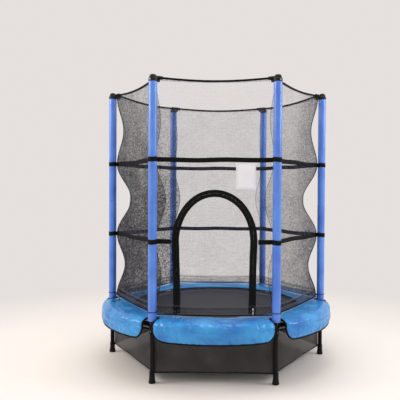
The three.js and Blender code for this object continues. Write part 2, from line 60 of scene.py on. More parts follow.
SIDES = 6
HALF = math.pi / SIDES
CORNERS = ("right", "back_right", "back_left", "left", "front_left", "front_right")
PANELS = ("right_rear", "rear", "left_rear", "left_front", "front", "right_front")
FRONT = PANELS.index("front")


class Body(Enum):
    """The CAD bodies that a piece can ride on."""

    FRAME = "frame"
    MAT = "mat"
    DOOR = "door"
    SLIDER = "slider"
    PULL = "pull"


class Slot(Enum):
    """The record's material slots."""

    STEEL = "black_steel"
    BARE = "bare_steel"
    FOOT = "foot_rubber"
    PLASTIC = "black_plastic"
    FOAM = "blue_foam"
    VINYL = "blue_vinyl"
    MAT = "mat_fabric"
    SKIRT = "skirt_mesh"
    NET = "net_mesh"
    WEBBING = "black_webbing"
    ELASTIC = "elastic"
    ZIP = "zip_metal"


# ---------------------------------------------------------------- small geometry


def polar(radius: float, angle: float, z: float) -> Vector:
    """The point at a radius and an angle round the vertical axis, at height z."""
    return Vector((radius * math.cos(angle), radius * math.sin(angle), z))


def corner_angle(i: int) -> float:
    """The angle of pole i, where pole 0 stands on +X."""
    return 2 * HALF * i


def panel_angle(i: int) -> float:
    """The angle of the middle of panel i, between poles i and i + 1."""
    return 2 * HALF * (i + 0.5)


def pole_axis(i: int) -> Matrix:
    """The upright axis at pole i, with its own X pointing outwards."""
    return Matrix.Rotation(corner_angle(i), 4, "Z") @ Matrix.Translation((RING_RADIUS, 0, 0))


def hoop(i: int, z: float, radius: float, reach: float, steps: int) -> list[Vector]:
    """An arc round pole i, open towards the middle, that goes reach degrees each way."""
    centre = polar(RING_RADIUS, corner_angle(i), z)
    turn = Matrix.Rotation(corner_angle(i), 3, "Z")
    angles = [math.radians(-reach + 2 * reach * k / steps) for k in range(steps + 1)]
    return [centre + turn @ Vector((radius * math.cos(a), radius * math.sin(a), 0)) for a in angles]


def smooth(t: float) -> float:
    """Eases t from 0 to 1."""
    t = min(1.0, max(0.0, t))
    return t * t * (3 - 2 * t)


class Shell:
    """A mesh under construction: points, faces, and a UV in metres for each face corner."""

    def __init__(self) -> None:
        """Starts an empty shell."""
        self.points: list[Vector] = []
        self.faces: list[tuple[int, ...]] = []
        self.uvs: list[tuple[tuple[float, float], ...]] = []
        self.finish_of: list[int] = []
        self.finish = 0

    def face(self, corners: Sequence[int], uvs: Sequence[tuple[float, float]]) -> None:
        """Adds one face with its UVs."""
        self.faces.append(tuple(corners))
        self.uvs.append(tuple(uvs))
        self.finish_of.append(self.finish)

    def grid(
        self,
        columns: int,
        rows: int,
        place: Place,
        size: tuple[float, float] = (1.0, 1.0),
        wrap: bool = False,
        flip: bool = False,
    ) -> "Shell":
        """Adds a sheet over u and v from 0 to 1.

        Args:
            columns: faces along u.
            rows: faces along v.
            place: the point at u and v.
            size: the sheet's real width and height in metres, for the UVs.
            wrap: whether the last column meets the first.
            flip: whether the faces turn the other way.

        Returns:
            The shell itself.
        """
        base = len(self.points)
        across = columns if wrap else columns + 1
        for row in range(rows + 1):
            for column in range(across):
                self.points.append(place(column / columns, row / rows))
        for row in range(rows):
            for column in range(columns):
                after = (column + 1) % across
                corners = [
                    base + row * across + column,
                    base + row * across + after,
                    base + (row + 1) * across + after,
                    base + (row + 1) * across + column,
                ]
                u0, u1 = column / columns * size[0], (column + 1) / columns * size[0]
                v0, v1 = row / rows * size[1], (row + 1) / rows * size[1]
                uvs = [(u0, v0), (u1, v0), (u1, v1), (u0, v1)]
                if flip:
                    corners.reverse()
                    uvs.reverse()
                self.face(corners, uvs)
        return self

    def tube(
        self,
        path: Sequence[Vector],
        radius: float | Callable[[float], float],
        sides: int = 10,
        closed: bool = False,
        capped: bool = True,
    ) -> "Shell":
        """Sweeps a round section along a path, with v along it in metres.

        Args:
            path: the points of the centre line.
            radius: the radius, or a function of the share of the way along.
            sides: faces round the section.
            closed: whether the path's end joins its start.
            capped: whether open ends are closed.

        Returns:
            The shell itself.
        """
        count = len(path)
        frames = carried_frames(path, closed)
        length = [0.0]
        for i in range(1, count + 1):
            length.append(length[-1] + (path[i % count] - path[i - 1]).length)
        base = len(self.points)
        for i, (centre, (side, up)) in enumerate(zip(path, frames)):
            r = radius(i / max(1, count - 1)) if callable(radius) else radius
            for k in range(sides):
                a = 2 * math.pi * k / sides
                self.points.append(centre + side * (r * math.cos(a)) + up * (r * math.sin(a)))
        mean = radius(0.5) if callable(radius) else radius
        girth = 2 * math.pi * mean
        for i in range(count if closed else count - 1):
            j = (i + 1) % count
            for k in range(sides):
                m = (k + 1) % sides
                u0, u1 = k / sides * girth, (k + 1) / sides * girth
                self.face(
                    (base + i * sides + k, base + i * sides + m, base + j * sides + m, base + j * sides + k),
                    ((u0, length[i]), (u1, length[i]), (u1, length[i + 1]), (u0, length[i + 1])),
                )
        if capped and not closed:
            first = tuple(base + k for k in reversed(range(sides)))
            last = tuple(base + (count - 1) * sides + k for k in range(sides))
            for ring in (first, last):
                self.face(ring, tuple((0.0, 0.0) for _ in ring))
        return self

    def ribbon(
        self,
        path: Sequence[Vector],
        across: Sequence[Vector],
        width: float,
        thickness: float,
        closed: bool = False,
    ) -> "Shell":
        """Sweeps a flat section with rounded edges along a path, for webbing and tape.

        Args:
            path: the points of the centre line.
            across: the direction of the ribbon's width at each point.
            width: the ribbon's width in metres.
            thickness: its thickness in metres.
            closed: whether the path's end joins its start.

        Returns:
            The shell itself.
        """
        w, t = width / 2, thickness / 2
        outline = [(-w, 0.0), (-w + t, t), (0.0, t), (w - t, t)]
        outline += [(w, 0.0), (w - t, -t), (0.0, -t), (-w + t, -t)]
        count = len(path)
        length = [0.0]
        for i in range(1, count + 1):
            length.append(length[-1] + (path[i % count] - path[i - 1]).length)
        base = len(self.points)
        for i in range(count):
            before = path[i - 1] if closed or i else path[i]
            after = path[(i + 1) % count] if closed or i < count - 1 else path[i]
            ahead = (after - before).normalized()
            wide = (across[i] - ahead * across[i].dot(ahead)).normalized()
            out = ahead.cross(wide)
            for a, b in outline:
                self.points.append(path[i] + wide * a + out * b)
        n = len(outline)
        for i in range(count if closed else count - 1):
            j = (i + 1) % count
            for k in range(n):
                m = (k + 1) % n
                u0, u1 = outline[k][0], outline[m][0]
                self.face(
                    (base + i * n + k, base + j * n + k, base + j * n + m, base + i * n + m),
                    ((u0, length[i]), (u0, length[i + 1]), (u1, length[i + 1]), (u1, length[i])),
                )
        if not closed:
            self.face(tuple(base + k for k in range(n)), tuple((a, 0.0) for a, _ in outline))
            end = base + (count - 1) * n
            self.face(tuple(end + k for k in reversed(range(n))), tuple((a, 0.0) for a, _ in outline))
        return self

    def lathe(
        self,
        profile: Sequence[tuple[float, float]],
        matrix: Matrix,
        sides: int = 32,
        warp: Callable[[float, float, float], float] | None = None,
    ) -> "Shell":
        """Turns a profile of (radius, height) about an axis.

        Args:
            profile: the section, from the bottom up the outside.
            matrix: puts the lathe's own Z axis where it belongs.
            sides: faces round the axis.
            warp: a change of radius at (angle, height, radius), if any.

        Returns:
            The shell itself.
        """
        rings = []
        run = 0.0
        for i, (r, z) in enumerate(profile):
            if i:
                run += math.hypot(r - profile[i - 1][0], z - profile[i - 1][1])
            if r < 1e-6:
                rings.append(([len(self.points)], run))
                self.points.append(matrix @ Vector((0, 0, z)))
                continue
            ring = []
            for k in range(sides):
                a = 2 * math.pi * k / sides
                rr = r + (warp(a, z, r) if warp else 0.0)
                ring.append(len(self.points))
                self.points.append(matrix @ Vector((rr * math.cos(a), rr * math.sin(a), z)))
            rings.append((ring, run))
        girth = 2 * math.pi * max(r for r, _ in profile)
        for (low, v0), (high, v1) in zip(rings, rings[1:]):
            for k in range(sides):
                m = (k + 1) % sides
                u0, u1 = k / sides * girth, (k + 1) / sides * girth
                if len(low) == 1:
                    self.face((low[0], high[m], high[k]), ((u0, v0), (u1, v1), (u0, v1)))
                elif len(high) == 1:
                    self.face((low[k], low[m], high[0]), ((u0, v0), (u1, v0), (u0, v1)))
                else:
                    self.face((low[k], low[m], high[m], high[k]), ((u0, v0), (u1, v0), (u1, v1), (u0, v1)))
        return self

    def block(self, matrix: Matrix, size: tuple[float, float, float]) -> "Shell":
        """Adds a box of that size about the matrix's origin."""
        base = len(self.points)
        for x in (-0.5, 0.5):
            for y in (-0.5, 0.5):
                for z in (-0.5, 0.5):
                    self.points.append(matrix @ Vector((x * size[0], y * size[1], z * size[2])))
        sides = ((0, 1, 3, 2), (4, 6, 7, 5), (0, 4, 5, 1), (2, 3, 7, 6), (0, 2, 6, 4), (1, 5, 7, 3))
        for corners in sides:
            uvs = ((0, 0), (0, size[2]), (size[1], size[2]), (size[1], 0))
            self.face(tuple(base + c for c in corners), uvs)
        return self

    def mesh(self, name: str, weld: float = 0.0) -> bpy.types.Mesh:
        """Makes a Blender mesh, with points closer than weld joined."""
        mesh = bpy.data.meshes.new(name)
        mesh.from_pydata([tuple(p) for p in self.points], [], self.faces)
        layer = mesh.uv_layers.new(name="UVMap")
        flat = [c for face in self.uvs for uv in face for c in uv]
        layer.data.foreach_set("uv", flat)
        mesh.polygons.foreach_set("material_index", self.finish_of)
        if weld:
            bm = bmesh.new()
            bm.from_mesh(mesh)
            bmesh.ops.remove_doubles(bm, verts=bm.verts, dist=weld)
            bm.to_mesh(mesh)
            bm.free()
        mesh.update()
        return mesh


def carried_frames(path: Sequence[Vector], closed: bool) -> list[tuple[Vector, Vector]]:
    """Two directions across a path at each point, carried along it without twisting."""
    count = len(path)
    tangents = []
    for i in range(count):
        before = path[i - 1] if closed or i else path[i]
        after = path[(i + 1) % count] if closed or i < count - 1 else path[i]
        tangents.append((after - before).normalized())
    seed = UP if abs(tangents[0].z) < 0.9 else Vector((1, 0, 0))
    side = tangents[0].cross(seed).normalized()
    frames = []
    for tangent in tangents:
        side = (side - tangent * side.dot(tangent)).normalized()
        frames.append((side, tangent.cross(side)))
    if closed:
        first = frames[0][0]
        last = (first - tangents[-1] * first.dot(tangents[-1])).normalized()
        twist = math.atan2(frames[-1][1].dot(last), frames[-1][0].dot(last))
        for i, (a, b) in enumerate(frames):
            turn = twist * i / count
            frames[i] = (a * math.cos(turn) + b * math.sin(turn), b * math.cos(turn) - a * math.sin(turn))
    return frames


def piece(
    name: str,
    shell: Shell,
    finishes: Sequence[bpy.types.Material],
    slot: Slot,
    body: Body = Body.FRAME,
    stands_for: Iterable[str] = (),
    weld: float = 0.0,
    ride: bool = True,
) -> bpy.types.Object:
    """slot: not used. the record's slot that it takes its finish from.
        body: the CAD body that it moves with.
        stands_for: the CAD nodes that it replaces.
        weld: the distance at which its points are joined.
        ride: whether it rides now, or is left for a later blend.

    Returns:
        The object.
    """
    mesh = shell.mesh(name, weld)
    for finish in finishes:
        mesh.materials.append(finish)
    mesh.polygons.foreach_set("use_smooth", [True] * len(mesh.polygons))
    obj = bpy.data.objects.new(name, mesh)
    bpy.context.scene.collection.objects.link(obj)
    if ride:
        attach(obj, body.value)
    nodes = list(stands_for)
    if nodes:
        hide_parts(*nodes)
    log.info("%s: %d faces", name, len(mesh.polygons))
    return obj


def smooth_by_angle(obj: bpy.types.Object, degrees: float = 35.0) -> None:
    """Keeps edges sharper than the angle crisp."""
    obj.data.set_sharp_from_angle(angle=math.radians(degrees))


# ---------------------------------------------------------------- finishes


def linear(code: str) -> tuple[float, float, float, float]:
    """An sRGB hex colour as linear RGBA."""
    channels = (int(code[i : i + 2], 16) / 255 for i in (1, 3, 5))
    rgb = [c / 12.92 if c <= 0.04045 else ((c + 0.055) / 1.055) ** 2.4 for c in channels]
    return (*rgb, 1.0)


def node(
    tree: bpy.types.NodeTree, kind: str, settings: dict | None = None, **inputs: object
) -> bpy.types.Node:
    """Adds a node with its settings, and sets or links its inputs.

    Args:
        tree: the material's node tree.
        kind: the node's type, without "ShaderNode".
        settings: attributes of the node.
        inputs: values or sockets by input name, with _ for a space, or by in0, in1 and so on.

    Returns:
        The node.
    """
    made = tree.nodes.new("ShaderNode" + kind)
    for key, value in (settings or {}).items():
        setattr(made, key, value)
    for key, value in inputs.items():
        index = key[2:]
        numbered = key.startswith("in") and index.isdigit()
        socket = made.inputs[int(index) if numbered else key.replace("_", " ")]
        if isinstance(value, bpy.types.NodeSocket):
            tree.links.new(value, socket)
        else:
            socket.default_value = value
    return made


def math_node(
    tree: bpy.types.NodeTree, operation: str, *values: object, clamp: bool = False
) -> bpy.types.NodeSocket:
    """The result of one arithmetic step."""
    inputs = {f"in{i}": v for i, v in enumerate(values)}
    return node(tree, "Math", {"operation": operation, "use_clamp": clamp}, **inputs).outputs[0]


class Draft:
    """A material's node tree in the making, with its patterns measured in metres."""

    def __init__(self, name: str) -> None:
        """Starts a material with only its output."""
        self.material = bpy.data.materials.new(name)
        self.material.use_nodes = True
        self.tree = self.material.node_tree
        self.tree.nodes.clear()
        self.out = node(self.tree, "OutputMaterial")
        self.shader = node(self.tree, "BsdfPrincipled")
        self.tree.links.new(self.shader.outputs[0], self.out.inputs["Surface"])

    def set(self, **inputs: object) -> None:
        """Sets or links inputs of the shader, with _ for a space."""
        for key, value in inputs.items():
            socket = self.shader.inputs[key.replace("_", " ")]
            if isinstance(value, bpy.types.NodeSocket):
                self.tree.links.new(value, socket)
            else:
                socket.default_value = value

    def threads(self, across_mm: float, along_mm: float) -> tuple[bpy.types.NodeSocket, bpy.types.NodeSocket]:
        """Two waves from 0 to 1, across and along the cloth, one per thread."""
        uv = node(self.tree, "UVMap", {"uv_map": "UVMap"}).outputs[0]
        parts = node(self.tree, "SeparateXYZ", in0=uv)
        waves = []
        for socket, spacing in zip(parts.outputs, (across_mm, along_mm)):
            turn = math_node(self.tree, "MULTIPLY", socket, 2 * math.pi / (spacing / 1000))
            wave = math_node(self.tree, "SINE", turn)
            waves.append(math_node(self.tree, "MULTIPLY_ADD", wave, 0.5, 0.5))
        return waves[0], waves[1]

    def grain(self, size_mm: float, detail: float = 2.0, roughness: float = 0.5) -> bpy.types.NodeSocket:
        """Noise with grains of about that size."""
        place = node(self.tree, "TexCoord").outputs["Object"]
        noise_node = node(
            self.tree, "TexNoise", in0=place, Scale=1000 / size_mm, Detail=detail, Roughness=roughness
        )
        return noise_node.outputs[0]

    def between(
        self, share: bpy.types.NodeSocket, low: str, high: str, start: float, end: float
    ) -> bpy.types.NodeSocket:
        """A colour between two sRGB hex colours, as share goes from start to end."""
        ramp = node(self.tree, "ValToRGB", in0=share)
        ramp.color_ramp.elements[0].position = start
        ramp.color_ramp.elements[0].color = linear(low)
        ramp.color_ramp.elements[1].position = end
        ramp.color_ramp.elements[1].color = linear(high)
        return ramp.outputs[0]

    def relief(
        self, height: bpy.types.NodeSocket, depth_mm: float, strength: float = 1.0
    ) -> bpy.types.NodeSocket:
        """A bump of that depth from a height of 0 to 1, chained onto any earlier one."""
        earlier = self.shader.inputs["Normal"].links
        inputs = {"Height": height, "Distance": depth_mm / 1000, "Strength": strength}
        if earlier:
            inputs["Normal"] = earlier[0].from_socket
        bump = node(self.tree, "Bump", None, **inputs)
        self.set(Normal=bump.outputs[0])
        return bump.outputs[0]


@dataclass(frozen=True)
class CoatedVinyl:
    """PVC-coated polyester, calendered and soft: a broad sheen over a faint fabric grain."""

    name: str = "cover_coated_vinyl"
    dark: str = "#1874c2"
    light: str = "#359bdf"

    def make(self) -> bpy.types.Material:
        """Builds the material."""
        d = Draft(self.name)
        patch = d.grain(160, 3, 0.55)
        d.set(Base_Color=d.between(patch, self.dark, self.light, 0.36, 0.64))
        d.set(Roughness=0.26, IOR=1.5, Specular_IOR_Level=0.55)
        # The cloth under the coating is a 0.8 mm weave, drawn at 2.5 mm so that it shows.
        across, along = d.threads(2.5, 2.5)
        d.relief(math_node(d.tree, "MULTIPLY", across, along), 0.12, 0.5)
        d.relief(d.grain(28, 4, 0.6), 1.6, 0.5)
        # Sharp creases, where two folds of the vinyl meet.
        fold = math_node(d.tree, "ABSOLUTE", math_node(d.tree, "SUBTRACT", d.grain(62, 1, 0.4), 0.5))
        d.relief(math_node(d.tree, "MULTIPLY", fold, 9.0, clamp=True), 3.0, 0.75)
        return d.material


@dataclass(frozen=True)
class FoamSkin:
    """Extruded foam in a heat-shrunk PVC skin: soft sheen and a pebbled surface."""

    name: str = "sleeve_foam_skin"
    dark: str = "#4071d6"
    light: str = "#588fea"

    def make(self) -> bpy.types.Material:
        """Builds the material."""
        d = Draft(self.name)
        d.set(Base_Color=d.between(d.grain(120, 2), self.dark, self.light, 0.3, 0.7))
        d.set(Roughness=0.28, IOR=1.46, Specular_IOR_Level=0.9)
        # Cells of 0.5 mm, drawn at 2 mm so that they show.
        d.relief(d.grain(2.0, 2), 0.15, 0.35)
        d.relief(d.grain(35, 3), 1.2, 0.3)
        return d.material


@dataclass(frozen=True)
class PowderCoat:
    """Black powder coat baked on steel tube: satin, with a fine orange peel."""

    name: str = "frame_powder_coat"
    colour: str = "#0c0908"

    def make(self) -> bpy.types.Material:
        """Builds the material."""
        d = Draft(self.name)
        d.set(Base_Color=d.between(d.grain(40, 4), self.colour, "#151210", 0.45, 0.8))
        d.set(Roughness=0.36, IOR=1.5, Specular_IOR_Level=0.14)
        d.relief(d.grain(1.6, 2), 0.08, 0.4)
        return d.material


@dataclass(frozen=True)
class ZincPlate:
    """Zinc-plated steel, as drawn: bright, with faint streaks."""

    name: str = "steel_zinc_plate"
    colour: str = "#b9bcc0"
    roughness: float = 0.32

    def make(self) -> bpy.types.Material:
        """Builds the material."""
        d = Draft(self.name)
        d.set(Base_Color=d.between(d.grain(9, 4), self.colour, "#8f9397", 0.4, 0.75))
        d.set(Metallic=1.0, Roughness=self.roughness)
        d.relief(d.grain(1.2, 3), 0.05, 0.3)
        return d.material


@dataclass(frozen=True)
class MouldedNylon:
    """Injection-moulded black nylon, with the mould's spark-eroded grain."""

    name: str = "cap_moulded_nylon"
    colour: str = "#0a0908"

    def make(self) -> bpy.types.Material:
        """Builds the material."""
        d = Draft(self.name)
        d.set(Base_Color=d.between(d.grain(12, 2), self.colour, "#121010", 0.4, 0.8))
        d.set(Roughness=0.4, IOR=1.53, Specular_IOR_Level=0.28)
        d.relief(d.grain(1.0, 2), 0.1, 0.35)
        return d.material


@dataclass(frozen=True)
class FootRubber:
    """Moulded black rubber: dull, with a fine greyer mottle."""

    name: str = "foot_moulded_rubber"
    colour: str = "#0d0b0a"

    def make(self) -> bpy.types.Material:
        """Builds the material."""
        d = Draft(self.name)
        d.set(Base_Color=d.between(d.grain(6, 4), self.colour, "#1a1817", 0.5, 0.85))
        d.set(Roughness=0.62, IOR=1.52, Specular_IOR_Level=0.2)
        d.relief(d.grain(1.5, 3), 0.12, 0.5)
        return d.material


@dataclass(frozen=True)
class KnittedNet:
    """Knitted polyester netting, heat-set: dark threads with open holes between them."""

    name: str
    cover: float
    colour: str = "#2a282c"
    low_cover: float = 0.0
    gather: float = 0.0
    thread: float = 0.6
    mottle: float = 2.2
    mottle_mm: float = 9.0
    rows_mm: float = 7.0
    wales_mm: float = 9.0

    def make(self) -> bpy.types.Material:
        """Builds the material.

        The holes are 3 mm in cloth, drawn at 7 by 9 mm so that the rows show. Rows pulled
        tighter than their neighbours draw fine streaks across the net.
        """
        d = Draft(self.name)
        t = d.tree
        wale, row = d.threads(self.wales_mm, self.rows_mm)
        row = math_node(t, "POWER", row, 2.0)
        wale = math_node(t, "POWER", wale, 3.0)
        knit = math_node(t, "MAXIMUM", row, wale)
        weave = math_node(t, "MULTIPLY_ADD", knit, self.thread, 0.6 - self.thread * 0.63)
        uv = node(t, "UVMap", {"uv_map": "UVMap"}).outputs[0]
        parts = node(t, "SeparateXYZ", in0=uv)
        wide = math_node(t, "MULTIPLY", parts.outputs[0], 14.0)
        high = math_node(t, "MULTIPLY", parts.outputs[1], 150.0)
        stretched = node(t, "CombineXYZ", in0=wide, in1=high).outputs[0]
        streak = node(t, "TexNoise", in0=stretched, Scale=1.0, Detail=3.0, Roughness=0.65).outputs[0]
        streak = math_node(t, "MULTIPLY_ADD", streak, self.thread * 3.0, 1.0 - self.thread * 1.5)
        mottled = d.grain(self.mottle_mm, 3, 0.75)
        blotch = math_node(t, "MULTIPLY_ADD", mottled, self.mottle, 1.0 - self.mottle / 2)
        slack = math_node(t, "MULTIPLY_ADD", d.grain(130, 2), 0.8, 0.6)
        cloth = math_node(t, "MULTIPLY", weave, blotch)
        shade = math_node(t, "MULTIPLY", cloth, math_node(t, "MULTIPLY", slack, streak))
        # The net is drawn in closer, and so is denser, towards its foot.
        lower = math_node(t, "DIVIDE", math_node(t, "SUBTRACT", 1.5, parts.outputs[1]), 0.7, clamp=True)
        cover = math_node(t, "MULTIPLY_ADD", lower, self.low_cover, self.cover)
        # It is gathered, and so denser, by the seam at its outer corner.
        slope = 3.2 * math.copysign(1, self.gather)
        by_seam = math_node(t, "MULTIPLY_ADD", parts.outputs[0], slope, 0.0, clamp=True)
        cover = math_node(t, "MULTIPLY_ADD", by_seam, abs(self.gather), cover)
        # The waves and the noise together average about half.
        alpha = math_node(t, "MULTIPLY", shade, math_node(t, "MULTIPLY", cover, 2.0), clamp=True)
        d.set(Base_Color=linear(self.colour), Roughness=0.85, Specular_IOR_Level=0.2, Alpha=alpha)
        return d.material


@dataclass(frozen=True)
class SkirtMesh:
    """Close-woven PVC-coated mesh: a little see-through, with a soft grey bloom."""

    name: str = "skirt_coated_mesh"
    cover: float = 0.88

    def make(self) -> bpy.types.Material:
        """Builds the material."""
        d = Draft(self.name)
        t = d.tree
        across, along = d.threads(4.0, 4.0)
        weave = math_node(t, "MULTIPLY", across, along)
        alpha = math_node(t, "SUBTRACT", self.cover + 0.05, math_node(t, "MULTIPLY", weave, 0.2))
        d.set(Base_Color=d.between(d.grain(90, 3), "#2b292a", "#3e3c3d", 0.3, 0.7))
        d.set(Roughness=0.7, Specular_IOR_Level=0.3, Alpha=alpha)
        d.relief(weave, 0.3, 0.4)
        return d.material


@dataclass(frozen=True)
class WovenMat:
    """Woven polypropylene, the black cloth of trampoline beds: a tight tabby with a dull glint."""

    name: str = "mat_woven_polypropylene"

    def make(self) -> bpy.types.Material:
        """Builds the material.

        The threads are 1.5 mm, drawn at 4 mm so that they show.
        """
        d = Draft(self.name)
        t = d.tree
        across, along = d.threads(4.0, 4.0)
        weave = math_node(t, "MULTIPLY", across, along)
        d.set(Base_Color=d.between(weave, "#171617", "#282629", 0.1, 0.8))
        d.set(Roughness=0.5, IOR=1.49, Specular_IOR_Level=0.3)
        d.relief(weave, 0.35, 0.5)
        d.relief(d.grain(90, 2), 2.0, 0.25)
        return d.material


@dataclass(frozen=True)
class Webbing:
    """Woven polyester webbing: fine ribs along it and a herringbone across."""

    name: str = "strap_woven_webbing"
    colour: str = "#0a090a"
    rib_mm: float = 3.0

    def make(self) -> bpy.types.Material:
        """Builds the material."""
        d = Draft(self.name)
        across, along = d.threads(self.rib_mm, self.rib_mm * 0.8)
        weave = math_node(d.tree, "MULTIPLY", across, along)
        d.set(Base_Color=d.between(weave, self.colour, "#161516", 0.2, 0.9))
        d.set(Roughness=0.75, Specular_IOR_Level=0.15)
        d.relief(weave, 0.3, 0.6)
        return d.material


@dataclass(frozen=True)
class Plain:
    """A small part's moulded or sewn finish: one colour with a fine grain in its relief."""

    name: str
    colour: str
    roughness: float = 0.5
    grain_mm: float = 1.5
    specular: float = 0.5

    def make(self) -> bpy.types.Material:
        """Builds the material."""
        d = Draft(self.name)
        d.set(Base_Color=linear(self.colour), Roughness=self.roughness, Specular_IOR_Level=self.specular)
        d.relief(d.grain(self.grain_mm, 2), 0.1, 0.4)
        return d.material


@dataclass(frozen=True)
class StudioFloor:
    """A plain pale floor, matt, that runs out into the backdrop's own colour."""

    name: str = "studio_floor"
    backdrop: str = "#e5e0dd"

    def make(self) -> bpy.types.Material:
        """Builds the material."""
        d = Draft(self.name)
        d.set(Base_Color=d.between(d.grain(900, 2), "#f6efe8", "#faf4ee", 0.3, 0.7), Roughness=0.6)
        spot = node(d.tree, "TexCoord").outputs["Object"]
        away = node(d.tree, "VectorMath", {"operation": "LENGTH"}, in0=spot).outputs[1]
        far = math_node(d.tree, "DIVIDE", math_node(d.tree, "SUBTRACT", away, 1.0), 1.6, clamp=True)
        glow = node(d.tree, "Emission", Color=linear(self.backdrop), Strength=1.0)
        mixed = node(d.tree, "MixShader", in0=far, in1=d.shader.outputs[0], in2=glow.outputs[0])
        d.tree.links.new(mixed.outputs[0], d.out.inputs["Surface"])
        return d.material


class Finishes:
    """Every material of the trampoline, made once."""

    def __init__(self) -> None:
        """Makes them."""
        self.vinyl = CoatedVinyl().make()
        self.foam = FoamSkin().make()
        self.steel = PowderCoat().make()
        self.zinc = ZincPlate().make()
        self.nylon = MouldedNylon().make()
        self.rubber = FootRubber().make()
        self.skirt = SkirtMesh().make()
        self.mat = WovenMat().make()
        self.webbing = Webbing().make()
        self.binding = Webbing("cover_bias_binding", "#07070a", 1.6).make()
        self.cord = Webbing("cord_braided_sheath", "#0d0d0f", 2.0).make()
        self.thread = Plain("sewing_thread_grey", "#a3a0a8", 0.7, 0.8).make()
        self.dark_thread = Plain("sewing_thread_black", "#141316", 0.8, 0.8).make()
        self.hem_thread = Plain("sewing_thread_slate", "#6a6770", 0.7, 0.8).make()
        self.zip_coil = Plain("zip_nylon_coil", "#070607", 0.8, 0.8, 0.1).make()
        self.zip_metal = ZincPlate("zip_nickel_plate", "#dcdcda", 0.22).make()
        self.label = Plain("label_satin", "#fbfbff", 0.5, 1.0).make()
        self.screw = ZincPlate("screw_black_zinc", "#4a4a4c", 0.4).make()
        # Each side's cover, colour, extra cover low down, gather at its seam, thread, mottle and its grain.
        # The colours are painted light on one netting: lightest and bluish on the front as a painted sheen, a
        # darker bluish sheen on the rear, and painted shade that darkens the left sides most and the right
        # sides a little less.
        net = {
            "front": (0.07, "#6c6f8c", 0.0, 0.0, 0.5),
            "rear": (0.19, "#4a4d64", 0.0, 0.0, 0.6),
            "left_front": (0.35, "#2a2931", 0.27, -0.12, 0.35, 3.2, 12.0),
            "left_rear": (0.35, "#2a2931", 0.27, 0.12, 0.35, 3.2, 12.0),
            "right_front": (0.20, "#34353f", 0.10, 0.22, 0.45, 3.0, 12.0),
            "right_rear": (0.20, "#34353f", 0.10, -0.22, 0.45, 3.0, 12.0),
        }
        self.net = {side: KnittedNet(f"net_knitted_{side}", *look).make() for side, look in net.items()}
        self.net_hem = KnittedNet("net_folded_hem", 0.32, "#1d1c20", rows_mm=4.0, wales_mm=5.0).make()
        self.floor = StudioFloor().make()


# ---------------------------------------------------------------- frame


